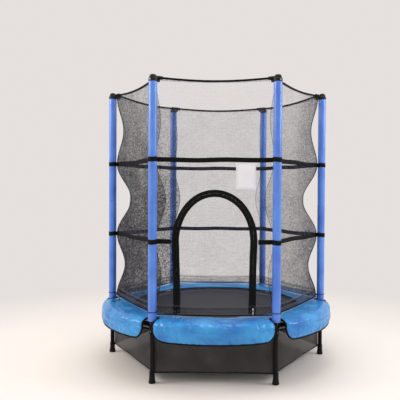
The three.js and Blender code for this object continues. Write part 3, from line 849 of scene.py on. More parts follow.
@dataclass
class RingFrame:
    """The steel ring, its welded sockets, the legs and the feet."""

    radius: float = RING_RADIUS
    height: float = RING_HEIGHT
    tube: float = TUBE_RADIUS
    socket: float = 0.0152
    socket_low: float = 0.265
    socket_high: float = 0.328
    foot_height: float = 0.052

    def build(self, f: Finishes) -> None:
        """Builds every metal and rubber piece of the frame."""
        for i, corner in enumerate(CORNERS):
            self.segment(i, f)
            self.leg(i, corner, f)
            self.foot(i, corner, f)
            self.screws(i, corner, f)

    def segment(self, i: int, f: Finishes) -> None:
        """One bent ring tube with the upright socket welded to its end."""
        shell = Shell()
        start = corner_angle(i) + 0.0145 / self.radius
        end = corner_angle(i + 1) - 0.0155 / self.radius
        arc = [polar(self.radius, start + (end - start) * k / 24, self.height) for k in range(25)]
        shell.tube(arc, self.tube, 20)
        low, high, r = self.socket_low, self.socket_high, self.socket
        bore, rim = 0.0128, 0.001
        profile = [(bore, low), (r - rim, low), (r, low + rim)]
        profile += [(r, high - rim), (r - rim, high), (bore, high), (bore, low)]
        shell.lathe(profile, pole_axis(i), 28)
        for side in (-1, 1):
            angle = corner_angle(i) + side * self.socket * 0.96 / self.radius
            along = Matrix.Rotation(angle, 4, "Z") @ Matrix.Translation((self.radius, 0, self.height))
            bead = []
            for k in range(28):
                a = 2 * math.pi * k / 28
                lift = 0.0016 * side * abs(math.sin(a))
                bead.append(along @ Vector((math.cos(a) * self.tube, lift, math.sin(a) * self.tube)))
            shell.tube(bead, lambda t: 0.0022, 6, closed=True)
        stands = [f"ring_segment_{PANELS[i]}"]
        obj = piece(f"ring_tube_{PANELS[i]}", shell, [f.steel], Slot.STEEL, stands_for=stands)
        smooth_by_angle(obj, 40)

    def leg(self, i: int, corner: str, f: Finishes) -> None:
        """A leg tube from the foot up into the socket."""
        shell = Shell()
        low, high, bore = 0.0066, 0.302, 0.0112
        profile = [(bore, low), (self.tube, low), (self.tube, 0.15)]
        profile += [(self.tube, high), (bore, high), (bore, low)]
        shell.lathe(profile, pole_axis(i), 28)
        obj = piece(f"leg_tube_{corner}", shell, [f.steel], Slot.STEEL, stands_for=[f"leg_{corner}"])
        smooth_by_angle(obj, 40)

    def foot(self, i: int, corner: str, f: Finishes) -> None:
        """A flared rubber foot with a rolled sole and a ribbed neck."""
        neck = 0.0145
        profile = [(0.0, 0.0), (0.0172, 0.0), (0.0184, 0.0012), (0.0185, 0.006), (0.0178, 0.009)]
        profile += [(0.0172 - 0.0027 * smooth(k / 6), 0.010 + 0.028 * k / 6) for k in range(7)]
        for rib in range(3):
            z = 0.040 + rib * 0.0036
            rib_out = neck + 0.0007
            profile += [(neck, z), (rib_out, z + 0.0008), (rib_out, z + 0.0018), (neck, z + 0.0026)]
        rim, bore, floor = self.foot_height, 0.0128, 0.0063
        profile += [(neck - 0.0004, rim), (bore, rim), (bore, floor), (0.0, floor)]
        shell = Shell().lathe(profile, pole_axis(i), 32)
        obj = piece(f"foot_{corner}", shell, [f.rubber], Slot.FOOT, stands_for=[f"foot_cap_{corner}"])
        smooth_by_angle(obj, 50)

    def screws(self, i: int, corner: str, f: Finishes) -> None:
        """The two cross-head screws that hold the leg and the pole in the socket."""
        shell = Shell()
        for z in (0.276, 0.319):
            out = pole_axis(i) @ Matrix.Translation((self.socket - 0.0004, 0, z)) @ OUTWARD
            head = [(0.0, 0.0), (0.0045, 0.0), (0.0045, 0.0012), (0.0032, 0.0026), (0.0, 0.0030)]
            shell.lathe(head, out, 16)
            for turn in (0, math.pi / 2):
                slot = out @ Matrix.Translation((0, 0, 0.0029)) @ Matrix.Rotation(turn, 4, "Z")
                shell.block(slot, (0.0045, 0.0009, 0.0006))
        smooth_by_angle(piece(f"socket_screws_{corner}", shell, [f.screw], Slot.STEEL), 30)


# ---------------------------------------------------------------- net form


@dataclass
class NetForm:
    """The net's shape: round it, a hexagon at the ties, drawn in between them."""

    middle: float = 0.534
    corner_out: float = 0.621
    rope_corner: float = 0.622
    hem_z: float = 0.364
    lower_strap: float = 0.745
    upper_strap: float = 1.177
    top_z: float = 1.5945
    pull_in: tuple[float, float, float] = (0.050, 0.088, 0.040)
    hem_sag: float = 0.008
    top_sag: float = 0.0115

    def corner(self, z: float) -> float:
        """Distance of the net's corner from the axis at height z."""
        ties = [
            (self.hem_z, self.corner_out),
            (self.lower_strap, self.corner_out),
            (self.upper_strap, self.corner_out),
            (self.top_z, self.rope_corner),
        ]
        bay = next((k for k in range(3) if z < ties[k + 1][0]), 2)
        (low, inner), (high, outer) = ties[bay], ties[bay + 1]
        t = min(1.0, max(0.0, (z - low) / (high - low)))
        return inner + (outer - inner) * t - self.pull_in[bay] * math.sin(math.pi * t) ** 2

    @staticmethod
    def squareness(offset: float) -> float:
        """0 in the middle of a panel and 1 at a corner."""
        return (1 / math.cos(offset) - 1) / (1 / math.cos(HALF) - 1)

    def radius(self, offset: float, z: float) -> float:
        """Distance of the net from the axis, at an angle off a panel's middle."""
        return self.middle + (self.corner(z) - self.middle) * self.squareness(offset)

    @staticmethod
    def droop(offset: float) -> float:
        """1 in the middle of a panel and 0 at a corner."""
        return 1 - (offset / HALF) ** 2

    def hem(self, offset: float) -> float:
        """Height of the lower edge."""
        return self.hem_z - self.hem_sag * self.droop(offset)

    def top(self, offset: float) -> float:
        """Height of the upper edge."""
        return self.top_z - self.top_sag * self.droop(offset)

    def ripple(self, panel: int, offset: float, z: float) -> float:
        """Small folds: soft waves all over, and creases that run in to each tie."""
        soft = noise.noise(Vector((panel * 7.1 + offset * 6, z * 5, 0.3))) * 0.004
        near = self.squareness(offset)
        creases = 0.0
        for tie in (self.hem_z, self.lower_strap, self.upper_strap, self.top_z):
            away = abs(z - tie)
            if away < 0.18:
                side = math.copysign(1, offset)
                slope = (z - tie) / (0.03 + (HALF - abs(offset)) * 0.6)
                fade = (1 - away / 0.18) * near * (1 - near)
                creases += 0.0035 * math.sin(slope * 7 + panel * 2 + side) * fade
        edge = min(1.0, max(0.0, (z - self.hem(offset)) / 0.05), max(0.0, (self.top(offset) - z) / 0.05))
        return (soft + creases * 2) * max(0.0, edge) * (1 - near**4)

    def point(self, panel: int, offset: float, z: float, out: float = 0.0, folds: bool = True) -> Vector:
        """The point of the net at an angle off a panel's middle and a height."""
        r = self.radius(offset, z) + out + (self.ripple(panel, offset, z) if folds else 0.0)
        return polar(r, panel_angle(panel) + offset, z)

    def front(self, x: float, z: float, out: float = 0.0, folds: bool = True) -> Vector:
        """The point of the front panel at x and z."""
        offset = math.asin(x / self.middle)
        for _ in range(4):
            offset = math.asin(x / self.radius(offset, z))
        return self.point(FRONT, offset, z, out, folds)


@dataclass
class DoorOutline:
    """The line of the zip: straight sides and an arched head."""

    half: float = 0.206
    foot_half: float = 0.198
    spring: float = 0.750
    rise: float = 0.250
    sill: float = 0.3635

    def half_at(self, z: float, foot: float, grow: float = 0.0) -> float:
        """Half the width at height z, or 0 above the arch."""
        if z <= self.spring:
            share = (z - foot) / (self.spring - foot)
            return self.foot_half + (self.half - self.foot_half) * share + grow
        t = (z - self.spring) / (self.rise + grow)
        return (self.half + grow) * math.sqrt(max(0.0, 1 - t * t))

    def line(
        self, foot: float, grow: float = 0.0, straight: int = 26, arch: int = 44
    ) -> list[tuple[float, float]]:
        """Points (x, z) from the left foot up, over the arch and down to the right foot."""
        side = []
        for k in range(straight):
            z = foot + (self.spring - foot) * k / straight
            side.append((self.half_at(z, foot, grow), z))
        head = []
        for k in range(arch + 1):
            a = math.pi * k / arch
            head.append(((self.half + grow) * math.cos(a), self.spring + (self.rise + grow) * math.sin(a)))
        return [(-x, z) for x, z in side] + head[::-1] + side[::-1]


def stitches(
    path: Sequence[Vector], pitch: float = 0.013, long: float = 0.008, radius: float = 0.0011
) -> Shell:
    """A row of stitches laid along a path."""
    shell = Shell()
    lengths = [0.0]
    for a, b in zip(path, path[1:]):
        lengths.append(lengths[-1] + (b - a).length)

    def at(s: float) -> Vector:
        """The point at a distance along the path."""
        k = min(len(path) - 2, max(0, int(np.searchsorted(lengths, s)) - 1))
        span = lengths[k + 1] - lengths[k]
        return path[k].lerp(path[k + 1], (s - lengths[k]) / span if span else 0.0)

    for k in range(int(lengths[-1] / pitch)):
        s = k * pitch
        shell.tube([at(s), at(s + long / 2), at(s + long)], lambda t: radius, 5)
    return shell


# ---------------------------------------------------------------- enclosure


@dataclass
class Enclosure:
    """The net, its hems, the straps, the ties and the label."""

    form: NetForm = field(default_factory=NetForm)
    door: DoorOutline = field(default_factory=DoorOutline)
    ring_radius: float = RING_RADIUS
    sleeve: float = SLEEVE_RADIUS
    strap_width: float = 0.025
    strap_thickness: float = 0.0016
    rope_z: float = 1.606
    rope_sag: float = 0.018
    hem_band: float = 0.038

    def build(self, f: Finishes) -> None:
        """Builds every piece of the enclosure but the door."""
        for panel, side in enumerate(PANELS):
            if panel == FRONT:
                self.front_panel(f)
            else:
                self.panel(panel, side, f)
        self.seams(f)
        self.lower_hem(f)
        self.top_rope(f)
        self.strap("upper_strap", self.form.upper_strap, False, f)
        self.strap("lower_strap", self.form.lower_strap, True, f)
        self.corner_ties(f)
        self.loose_end(f)
        self.label(f)

    def unwrap(self, panel: int) -> Callable[[Vector], tuple[float, float]]:
        """UVs along and up a panel, in metres."""
        middle = panel_angle(panel)

        def uv(p: Vector) -> tuple[float, float]:
            """UVs of a point, along the panel and up it."""
            a = (math.atan2(p.y, p.x) - middle + math.pi) % (2 * math.pi) - math.pi
            return (a * NET_PER_RADIAN, p.z)

        return uv

    def panel(self, panel: int, side: str, f: Finishes) -> None:
        """One plain net panel, as a single layer of netting."""

        def place(u: float, v: float) -> Vector:
            """The point at a share of the way across and up."""
            offset = (2 * u - 1) * HALF
            z = self.form.hem(offset) + v * (self.form.top(offset) - self.form.hem(offset))
            return self.form.point(panel, offset, z)

        shell = remap(Shell().grid(32, 90, place), self.unwrap(panel))
        obj = piece(f"net_{side}", shell, [f.net[side]], Slot.NET, stands_for=[f"net_panel_{side}"])

    def levels(self) -> list[float]:
        """Heights of the front panel's rows, closer together round the arch."""
        foot, spring, rise = self.form.hem(0), self.door.spring, self.door.rise
        low = [foot + (spring - foot) * k / 22 for k in range(22)]
        arch = [spring + rise * math.sin(math.pi / 2 * k / 26) for k in range(26)]
        top = self.form.top(0)
        high = [spring + rise + (top - spring - rise) * k / 34 for k in range(35)]
        return low + arch + high

    def front_panel(self, f: Finishes) -> None:
        """The front panel, cut out round the door."""
        levels = self.levels()
        last = len(levels) - 1
        foot = self.form.hem(0)
        shell = Shell()
        for side in (-1, 1):

            def place(u: float, v: float, side: int = side) -> Vector:
                """The point at a share of the way across and up."""
                z = levels[round(v * last)]
                edge = self.door.half_at(z, foot, 0.001)
                inner = 0.0
                for _ in range(4):
                    inner = math.asin(edge / self.form.radius(inner, z))
                offset = side * (inner + (HALF - inner) * u)
                rise = self.form.hem(offset) - foot if v == 0 else 0.0
                if v == 1:
                    rise = self.form.top(offset) - levels[-1]
                return self.form.point(FRONT, offset, z + rise)

            shell.grid(18, last, place, flip=side < 0)
        remap(shell, self.unwrap(FRONT))
        obj = piece("net_front", shell, [f.net["front"]], Slot.NET, stands_for=["net_panel_front"], weld=1e-5)

    def seams(self, f: Finishes) -> None:
        """The seam down each corner of the net: bound on the left and right, overlocked elsewhere."""
        bound, sewn = Shell(), Shell()
        top, low = self.form.top_z, self.form.hem_z
        for i, corner in enumerate(CORNERS):
            path = [polar(self.form.corner(z) + 0.001, corner_angle(i), z) for z in np.linspace(low, top, 90)]
            if corner in ("left", "right"):
                bound.tube(path, 0.0022, 8)
            else:
                sewn.tube(path, 0.0016, 6)
        piece("net_corner_seams_bound", bound, [f.binding], Slot.NET)
        piece("net_corner_seams_sewn", sewn, [f.net_hem], Slot.NET)

    def around(self, z_of: Height, out: float, steps: int = 24) -> list[Vector]:
        """A closed line round the net at the height given for each angle off a panel's middle."""
        path = []
        for panel in range(SIDES):
            for k in range(steps):
                offset = HALF * (2 * k / steps - 1)
                path.append(self.form.point(panel, offset, z_of(offset), out, False))
        return path

    def runs(self, panel: int, z: float, grow: float, stop_at_door: bool = True) -> list[list[float]]:
        """Angles off a panel's middle: one run, or two that stop short of the door by grow."""
        offsets = [HALF * (2 * k / 24 - 1) for k in range(25)]
        if panel != FRONT or not stop_at_door:
            return [offsets]
        edge = math.asin((self.door.half_at(z, self.form.hem(0)) + grow) / self.form.radius(0.36, z))
        return [[o for o in offsets if o < -edge] + [-edge], [edge] + [o for o in offsets if o > edge]]

    def band(self, shell: Shell, panel: int, run: Sequence[float], low: Height, high: Height) -> None:
        """A strip of the folded hem over a run of angles, between two heights."""

        def place(u: float, v: float) -> Vector:
            """The point at a share of the way across and up."""
            offset = run[round(u * (len(run) - 1))]
            z = low(offset) + v * (high(offset) - low(offset))
            return self.form.point(panel, offset, z, 0.0012, False)

        size = (abs(run[-1] - run[0]) * NET_PER_RADIAN, high(0) - low(0))
        shell.grid(len(run) - 1, 3, place, size)

    def zigzag(self, shell: Shell, panel: int, run: Sequence[float], above: float) -> None:
        """A zigzag seam over a run of angles, 12 mm high, at a height above the hem."""
        start, end = run[0], run[-1]
        turns = max(2, round(abs(end - start) * NET_PER_RADIAN / 0.0085))
        path = []
        for k in range(turns + 1):
            offset = start + (end - start) * k / turns
            height = self.form.hem(offset) + above + (0.012 if k % 2 else 0.0)
            path.append(self.form.point(panel, offset, height, 0.0034, False))
        shell.tube(path, 0.0013, 5)

    def hem_top(self, offset: float) -> float:
        """Height of the folded hem's upper edge."""
        return self.form.hem(offset) + self.hem_band

    def lower_hem(self, f: Finishes) -> None:
        """The folded band at the net's foot, its rows of stitching and the cord in it.

        In the doorway the band is cut down to a sill, and the flap carries its own.
        """
        band, rows, cord = Shell(), Shell(), Shell()
        hem = self.form.hem
        route = self.around(lambda o: hem(o) - 0.004, 0.0)
        cord.tube(route, lambda t: 0.0030 + 0.0003 * math.sin(t * 900), 8, closed=True)
        for panel in range(SIDES):
            runs = self.runs(panel, hem(0), 0.0)
            for run in runs:
                self.band(band, panel, run, hem, self.hem_top)
                cord.tube([self.form.point(panel, o, self.hem_top(o), 0.0012, False) for o in run], 0.0013, 6)
                self.zigzag(rows, panel, run, 0.010)
                self.zigzag(rows, panel, run, self.hem_band - 0.001)
            if len(runs) > 1:
                doorway = list(np.linspace(runs[0][-1], runs[1][0], 17))
                self.band(band, panel, doorway, hem, lambda o: self.door.sill)
        low_row = self.around(lambda o: hem(o) + 0.0045, 0.003)
        add_shell(rows, stitches(low_row + low_row[:1]))
        piece("net_hem_band", band, [f.net_hem], Slot.NET)
        piece("net_hem_cord", cord, [f.binding], Slot.WEBBING, stands_for=["bottom_hem"])
        piece("net_hem_stitching", rows, [f.hem_thread], Slot.NET)
        self.flap_hem(f)

    def flap_hem(self, f: Finishes) -> None:
        """The flap's share of the folded band, which swings with it."""
        start = self.door.sill + 0.002
        edge = math.asin((self.door.half_at(start, self.form.hem(0)) - 0.003) / self.form.radius(0.36, start))
        run = list(np.linspace(-edge, edge, 17))
        hem, rows = Shell(), Shell()
        self.band(hem, FRONT, run, lambda o: start, self.hem_top)
        piece("flap_hem_band", hem, [f.net_hem], Slot.NET, Body.DOOR)
        self.zigzag(rows, FRONT, run, 0.012)
        self.zigzag(rows, FRONT, run, self.hem_band - 0.001)
        piece("flap_hem_stitching", rows, [f.hem_thread], Slot.NET, Body.DOOR)

    def top_rope(self, f: Finishes) -> None:
        """The net's top hem, gathered on its rope."""
        path = []
        steps = 40
        for panel in range(SIDES):
            for k in range(steps):
                offset = HALF * (2 * k / steps - 1)
                spread = self.form.rope_corner - self.form.middle
                r = self.form.middle + spread * self.form.squareness(offset)
                z = self.rope_z - self.rope_sag * self.form.droop(offset)
                path.append(polar(r, panel_angle(panel) + offset, z))
        rope = Shell().tube(path, self.gathers, 12, closed=True)
        piece("top_rope_in_hem", rope, [f.webbing], Slot.WEBBING, stands_for=["top_rope"])
        low = self.around(lambda o: self.form.top(o) - 0.004, 0.0005)
        high = [Vector((p.x, p.y, self.rope_line(p))) for p in low]
        steps = len(low)

        def place(u: float, v: float) -> Vector:
            """The hem from the net's edge up to the rope."""
            return (low, high)[round(v)][round(u * steps) % steps]

        piece("net_top_hem", Shell().grid(steps, 1, place, (3.6, 0.014), wrap=True), [f.net_hem], Slot.NET)

    def gathers(self, t: float) -> float:
        """Radius of the rope in its hem, which the gathered net makes uneven."""
        return 0.0060 + 0.0007 * noise.noise(Vector((t * 260, 0, 0))) + 0.0003 * math.sin(t * 1500)

    def rope_line(self, p: Vector) -> float:
        """Height of the rope above a point."""
        angle = math.atan2(p.y, p.x) % (2 * HALF) - HALF
        return self.rope_z - self.rope_sag * self.form.droop(angle)

    def strap(self, name: str, z: float, open_at_door: bool, f: Finishes) -> None:
        """A webbing band round the net, with a loop round each padded pole."""
        shell = Shell()
        for panel in range(SIDES):
            for run in self.runs(panel, z, 0.018, open_at_door):
                path = []
                for offset in run:
                    droop = self.form.droop(offset)
                    sway = 0.0025 * math.sin(offset * 9 + panel * 1.7) * droop
                    path.append(self.form.point(panel, offset, z + sway - 0.002 * droop, 0.0027))
                shell.ribbon(path, [UP] * len(path), self.strap_width, self.strap_thickness)
        for i in range(SIDES):
            self.loop(shell, i, z)
        obj = piece(f"{name}_webbing", shell, [f.webbing], Slot.WEBBING, stands_for=[name])
        smooth_by_angle(obj, 50)

    def loop(self, shell: Shell, i: int, z: float) -> None:
        """The strap's loop round a padded pole, drawn in to the net's corner."""
        centre = polar(self.ring_radius, corner_angle(i), z)
        r = self.sleeve + 0.0004
        turn = Matrix.Rotation(corner_angle(i), 3, "Z")
        throat = -(self.ring_radius - self.form.corner_out) + 0.004
        path = []
        for k in range(33):
            a = math.radians(-152 + 304 * k / 32)
            tilt = 0.0015 * math.sin(a * 2 + i)
            path.append(centre + turn @ Vector((r * math.cos(a), r * math.sin(a), tilt)))
        ends = [centre + turn @ Vector((throat, s * 0.0016, 0)) for s in (-1, 1)]
        path = [ends[0], *path, ends[1]]
        shell.ribbon(path, [UP] * len(path), self.strap_width, self.strap_thickness)

    def corner_ties(self, f: Finishes) -> None:
        """The thin cord that ties each lower corner of the net round its pole."""
        shell = Shell()
        z = self.form.hem_z + 0.012
        for i in range(SIDES):
            knot = polar(self.form.corner_out + 0.001, corner_angle(i), z - 0.010)
            shell.tube([knot, *hoop(i, z, self.sleeve + 0.0012, 158, 30), knot], 0.0016, 7)
        piece("net_corner_ties", shell, [f.cord], Slot.WEBBING)

    def loose_end(self, f: Finishes) -> None:
        """The spare cord of the left pole's tie: a loop that lies on the cover and goes back to the knot."""
        stations = [
            (-0.6255, 0.003, 0.3720), (-0.6265, -0.010, 0.3600), (-0.6300, -0.028, 0.3525),
            (-0.6300, -0.080, 0.3515), (-0.6220, -0.135, 0.3512), (-0.6070, -0.165, 0.3512),
            (-0.5920, -0.150, 0.3512), (-0.5890, -0.105, 0.3514), (-0.5950, -0.050, 0.3518),
            (-0.6050, -0.020, 0.3560), (-0.6150, -0.003, 0.3650),
        ]
        path = []
        for k in range(len(stations) - 1):
            near = [stations[min(len(stations) - 1, max(0, k + j))] for j in (-1, 0, 1, 2)]
            path += [Vector([spline(*(p[c] for p in near), t / 6) for c in range(3)]) for t in range(6)]
        path.append(Vector(stations[-1]))
        length = sum((b - a).length for a, b in zip(path, path[1:]))
        obj = piece("tie_loose_end", Shell().tube(path, 0.0019, 8), [f.cord], Slot.ELASTIC)
        tuple(path[0])
        [tuple(p) for p in path]

    def label(self, f: Finishes) -> None:
        """A blank satin label sewn to the front panel under the upper strap."""
        width, height = 0.104, 0.138
        left, top = 0.110, self.form.upper_strap - self.strap_width / 2 - 0.003

        def place(u: float, v: float) -> Vector:
            """The point at a share of the way across and up."""
            x, z = left + u * width, top - (1 - v) * height
            curl = 0.004 * (1 - v) ** 2 + 0.0012 * math.sin(u * 5 + v * 3)
            return self.form.front(x, z, 0.004 + curl)

        shell = Shell().grid(14, 18, place, (width, height))
        obj = piece("blank_label", shell, [f.label], Slot.NET)
        inset = 0.005
        u_low, v_low = inset / width, inset / height
        u_high, v_high = 1 - u_low, 1 - v_low
        corners = [(u_low, v_low), (u_high, v_low), (u_high, v_high), (u_low, v_high)]
        proud = Vector((0, -0.0008, 0))
        path = []
        for (u0, v0), (u1, v1) in zip(corners, corners[1:] + corners[:1]):
            for k in range(10):
                path.append(place(u0 + (u1 - u0) * k / 10, v0 + (v1 - v0) * k / 10) + proud)
        piece("label_stitching", stitches(path + path[:1], 0.009, 0.006, 0.0006), [f.thread], Slot.NET)


def remap(shell: Shell, unwrap: Callable[[Vector], tuple[float, float]]) -> Shell:
    """Gives a shell the UVs that its points unwrap to."""
    shell.uvs = [tuple(unwrap(shell.points[c]) for c in corners) for corners in shell.faces]
    return shell


def add_shell(into: Shell, other: Shell) -> Shell:
    """Joins another shell's faces into the first."""
    base = len(into.points)
    into.points += other.points
    for corners, uvs in zip(other.faces, other.uvs):
        into.face([base + c for c in corners], uvs)
    return into


# ---------------------------------------------------------------- door


def mirrored(half: list[tuple[float, float]]) -> list[tuple[float, float]]:
    """An outline from its left half, by mirroring it."""
    return half + [(-x, z) for x, z in reversed(half)]


@dataclass
class ZipDoor:
    """The arched door: flap, tapes, coils, slider and pull."""

    form: NetForm = field(default_factory=NetForm)
    door: DoorOutline = field(default_factory=DoorOutline)
    tape_width: float = 0.0185

    def build(self, f: Finishes) -> None:
        """Builds the door's pieces."""
        self.flap(f)
        self.tape("door_tape_on_net", 1, Body.FRAME, f)
        self.tape("door_tape_on_flap", -1, Body.DOOR, f)
        self.coil("zip_coil_on_net", 1, Body.FRAME, f)
        self.coil("zip_coil_on_flap", -1, Body.DOOR, f)
        self.slider(f)
        self.pull(f)

    def trace(self, grow: float, out: float, straight: int = 26, arch: int = 44) -> list[Vector]:
        """The door's outline on the net, moved by grow in the sheet and by out off it.

        On the flap's side, where grow is negative, it starts above the sill.
        """
        foot = self.form.hem(0) + 0.002 if grow > 0 else self.door.sill + 0.002
        return [self.form.front(x, z, out) for x, z in self.door.line(foot, grow, straight, arch)]

    def flap(self, f: Finishes) -> None:
        """The net flap inside the zip."""
        foot, spring, rise = self.door.sill + 0.002, self.door.spring, self.door.rise
        levels = [foot + (spring - foot) * k / 24 for k in range(24)]
        levels += [spring + (rise - 0.002) * math.sin(math.pi / 2 * k / 24) for k in range(25)]
        last = len(levels) - 1

        def place(u: float, v: float) -> Vector:
            """The point at a share of the way across and up."""
            z = levels[round(v * last)]
            return self.form.front((2 * u - 1) * self.door.half_at(z, foot, -0.002), z)

        shell = Shell().grid(24, last, place)
        shell = remap(shell, lambda p: (p.x, p.z))
        obj = piece("door_flap_net", shell, [f.net["front"]], Slot.NET, Body.DOOR, ["door_flap"], weld=1e-5)

    def tape(self, name: str, side: int, body: Body, f: Finishes) -> None:
        """Folded webbing along one side of the zip, with a row of stitches at each edge."""
        middle = side * (0.0008 + self.tape_width / 2)
        path = self.trace(middle, 0.0022)
        outer = self.trace(middle + side * 0.004, 0.0022)
        across = [(b - a).normalized() for a, b in zip(path, outer)]
        shell = Shell().ribbon(path, across, self.tape_width, 0.0016)
        stands = ["door_tape"] if body is Body.FRAME else []
        smooth_by_angle(piece(name, shell, [f.webbing], Slot.WEBBING, body, stands), 50)
        rows = Shell()
        for inset in (0.0035, self.tape_width - 0.0025):
            add_shell(rows, stitches(self.trace(side * (0.0008 + inset), 0.0034), 0.012, 0.007, 0.0007))
        piece(name + "_stitching", rows, [f.dark_thread], Slot.WEBBING, body)

    def coil(self, name: str, side: int, body: Body, f: Finishes) -> None:
        """One row of the zip's nylon coil, a tooth every 3 mm."""
        path = self.trace(side * 0.0013, 0.0032, 150, 240)
        teeth = len(path)
        shell = Shell().tube(path, lambda t: 0.0011 + 0.0006 * (round(t * (teeth - 1)) % 2), 6)
        piece(name, shell, [f.zip_coil], Slot.WEBBING, body)

    def slider(self, f: Finishes) -> None:
        """The zip's slider: a waisted body with a bridge that holds the pull."""
        low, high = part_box("zip_slider")
        x, z = (low[0] + high[0]) / 2, (low[2] + high[2]) / 2
        front = low[1] + 0.004
        back = high[1]
        width, height = high[0] - low[0], high[2] - low[2]
        shell = Shell()

        def body(u: float, v: float) -> Vector:
            """A point of the body's rounded block."""
            a = 2 * math.pi * u
            level = (-1, -0.86, 0.86, 1)[round(v * 3)]
            inset = 0.86 if abs(level) == 1 else 1.0
            waist = 1 - 0.22 * max(0.0, -math.sin(a))
            px = math.copysign(abs(math.cos(a)) ** 0.6, math.cos(a)) * width / 2 * waist * inset
            pz = math.copysign(abs(math.sin(a)) ** 0.6, math.sin(a)) * height / 2 * inset
            return Vector((x + px, (front + back) / 2 - level * (back - front) / 2, z + pz))

        shell.grid(28, 3, body, wrap=True)
        for ring in (0, 3):
            corners = list(range(ring * 28, ring * 28 + 28))
            shell.face(corners if ring else corners[::-1], [(0.0, 0.0)] * 28)
        reach = front - low[1] - 0.0007
        rise = height / 2 - 0.0022
        loop = [(0.0, -rise), (reach * 0.8, -rise), (reach, -rise * 0.7)]
        loop += [(reach, rise * 0.7), (reach * 0.8, rise), (0.0, rise)]
        path = [Vector((x, front + 0.0006 - a, z + b)) for a, b in loop]
        shell.ribbon(path, [Vector((1, 0, 0))] * len(path), 0.0026, 0.0013)
        obj = piece("zip_slider_body", shell, [f.zip_metal], Slot.ZIP, Body.SLIDER, ["zip_slider"])
        smooth_by_angle(obj, 40)

    def pull(self, f: Finishes) -> None:
        """The pull: a ring through the bridge and a tapered tab with a hole."""
        low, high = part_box("zip_pull")
        x, y = (low[0] + high[0]) / 2, (low[1] + high[1]) / 2
        top, width = high[2], high[0] - low[0]
        shell = Shell()
        eye = mirrored([(-0.0027, -0.0115), (-0.0032, -0.004), (-0.0028, -0.0012)])
        eye.insert(3, (0, -0.0007))
        shell.tube([Vector((x + a, y, top + b)) for a, b in eye], 0.00065, 8)
        tab = mirrored([(-0.5, 0.0), (-0.5, 0.3), (-0.42, 0.7), (-0.2, 0.95)])
        hole = mirrored([(-0.22, 0.45), (-0.22, 0.55), (-0.16, 0.72), (-0.08, 0.8)])
        start, long = top - 0.0105, 0.0172

        def spot(q: tuple[float, float], s: float) -> Vector:
            """A point of the tab's outline, on its front or its back."""
            return Vector((x + q[0] * width * 0.86, y + s * 0.0006, start - q[1] * long))

        base = len(shell.points)
        for s in (-1, 1):
            shell.points += [spot(q, s) for q in tab] + [spot(q, s) for q in hole]
        n = len(tab)
        for k in range(n):
            m = (k + 1) % n
            flat = ((0.0, 0.0),) * 4
            shell.face((base + k, base + m, base + n + m, base + n + k), flat)
            shell.face((base + 2 * n + m, base + 2 * n + k, base + 3 * n + k, base + 3 * n + m), flat)
            shell.face((base + m, base + k, base + 2 * n + k, base + 2 * n + m), flat)
            shell.face((base + n + k, base + n + m, base + 3 * n + m, base + 3 * n + k), flat)
        obj = piece("zip_pull_tab", shell, [f.zip_metal], Slot.ZIP, Body.PULL, ["zip_pull"])
        smooth_by_angle(obj, 40)


# ---------------------------------------------------------------- poles


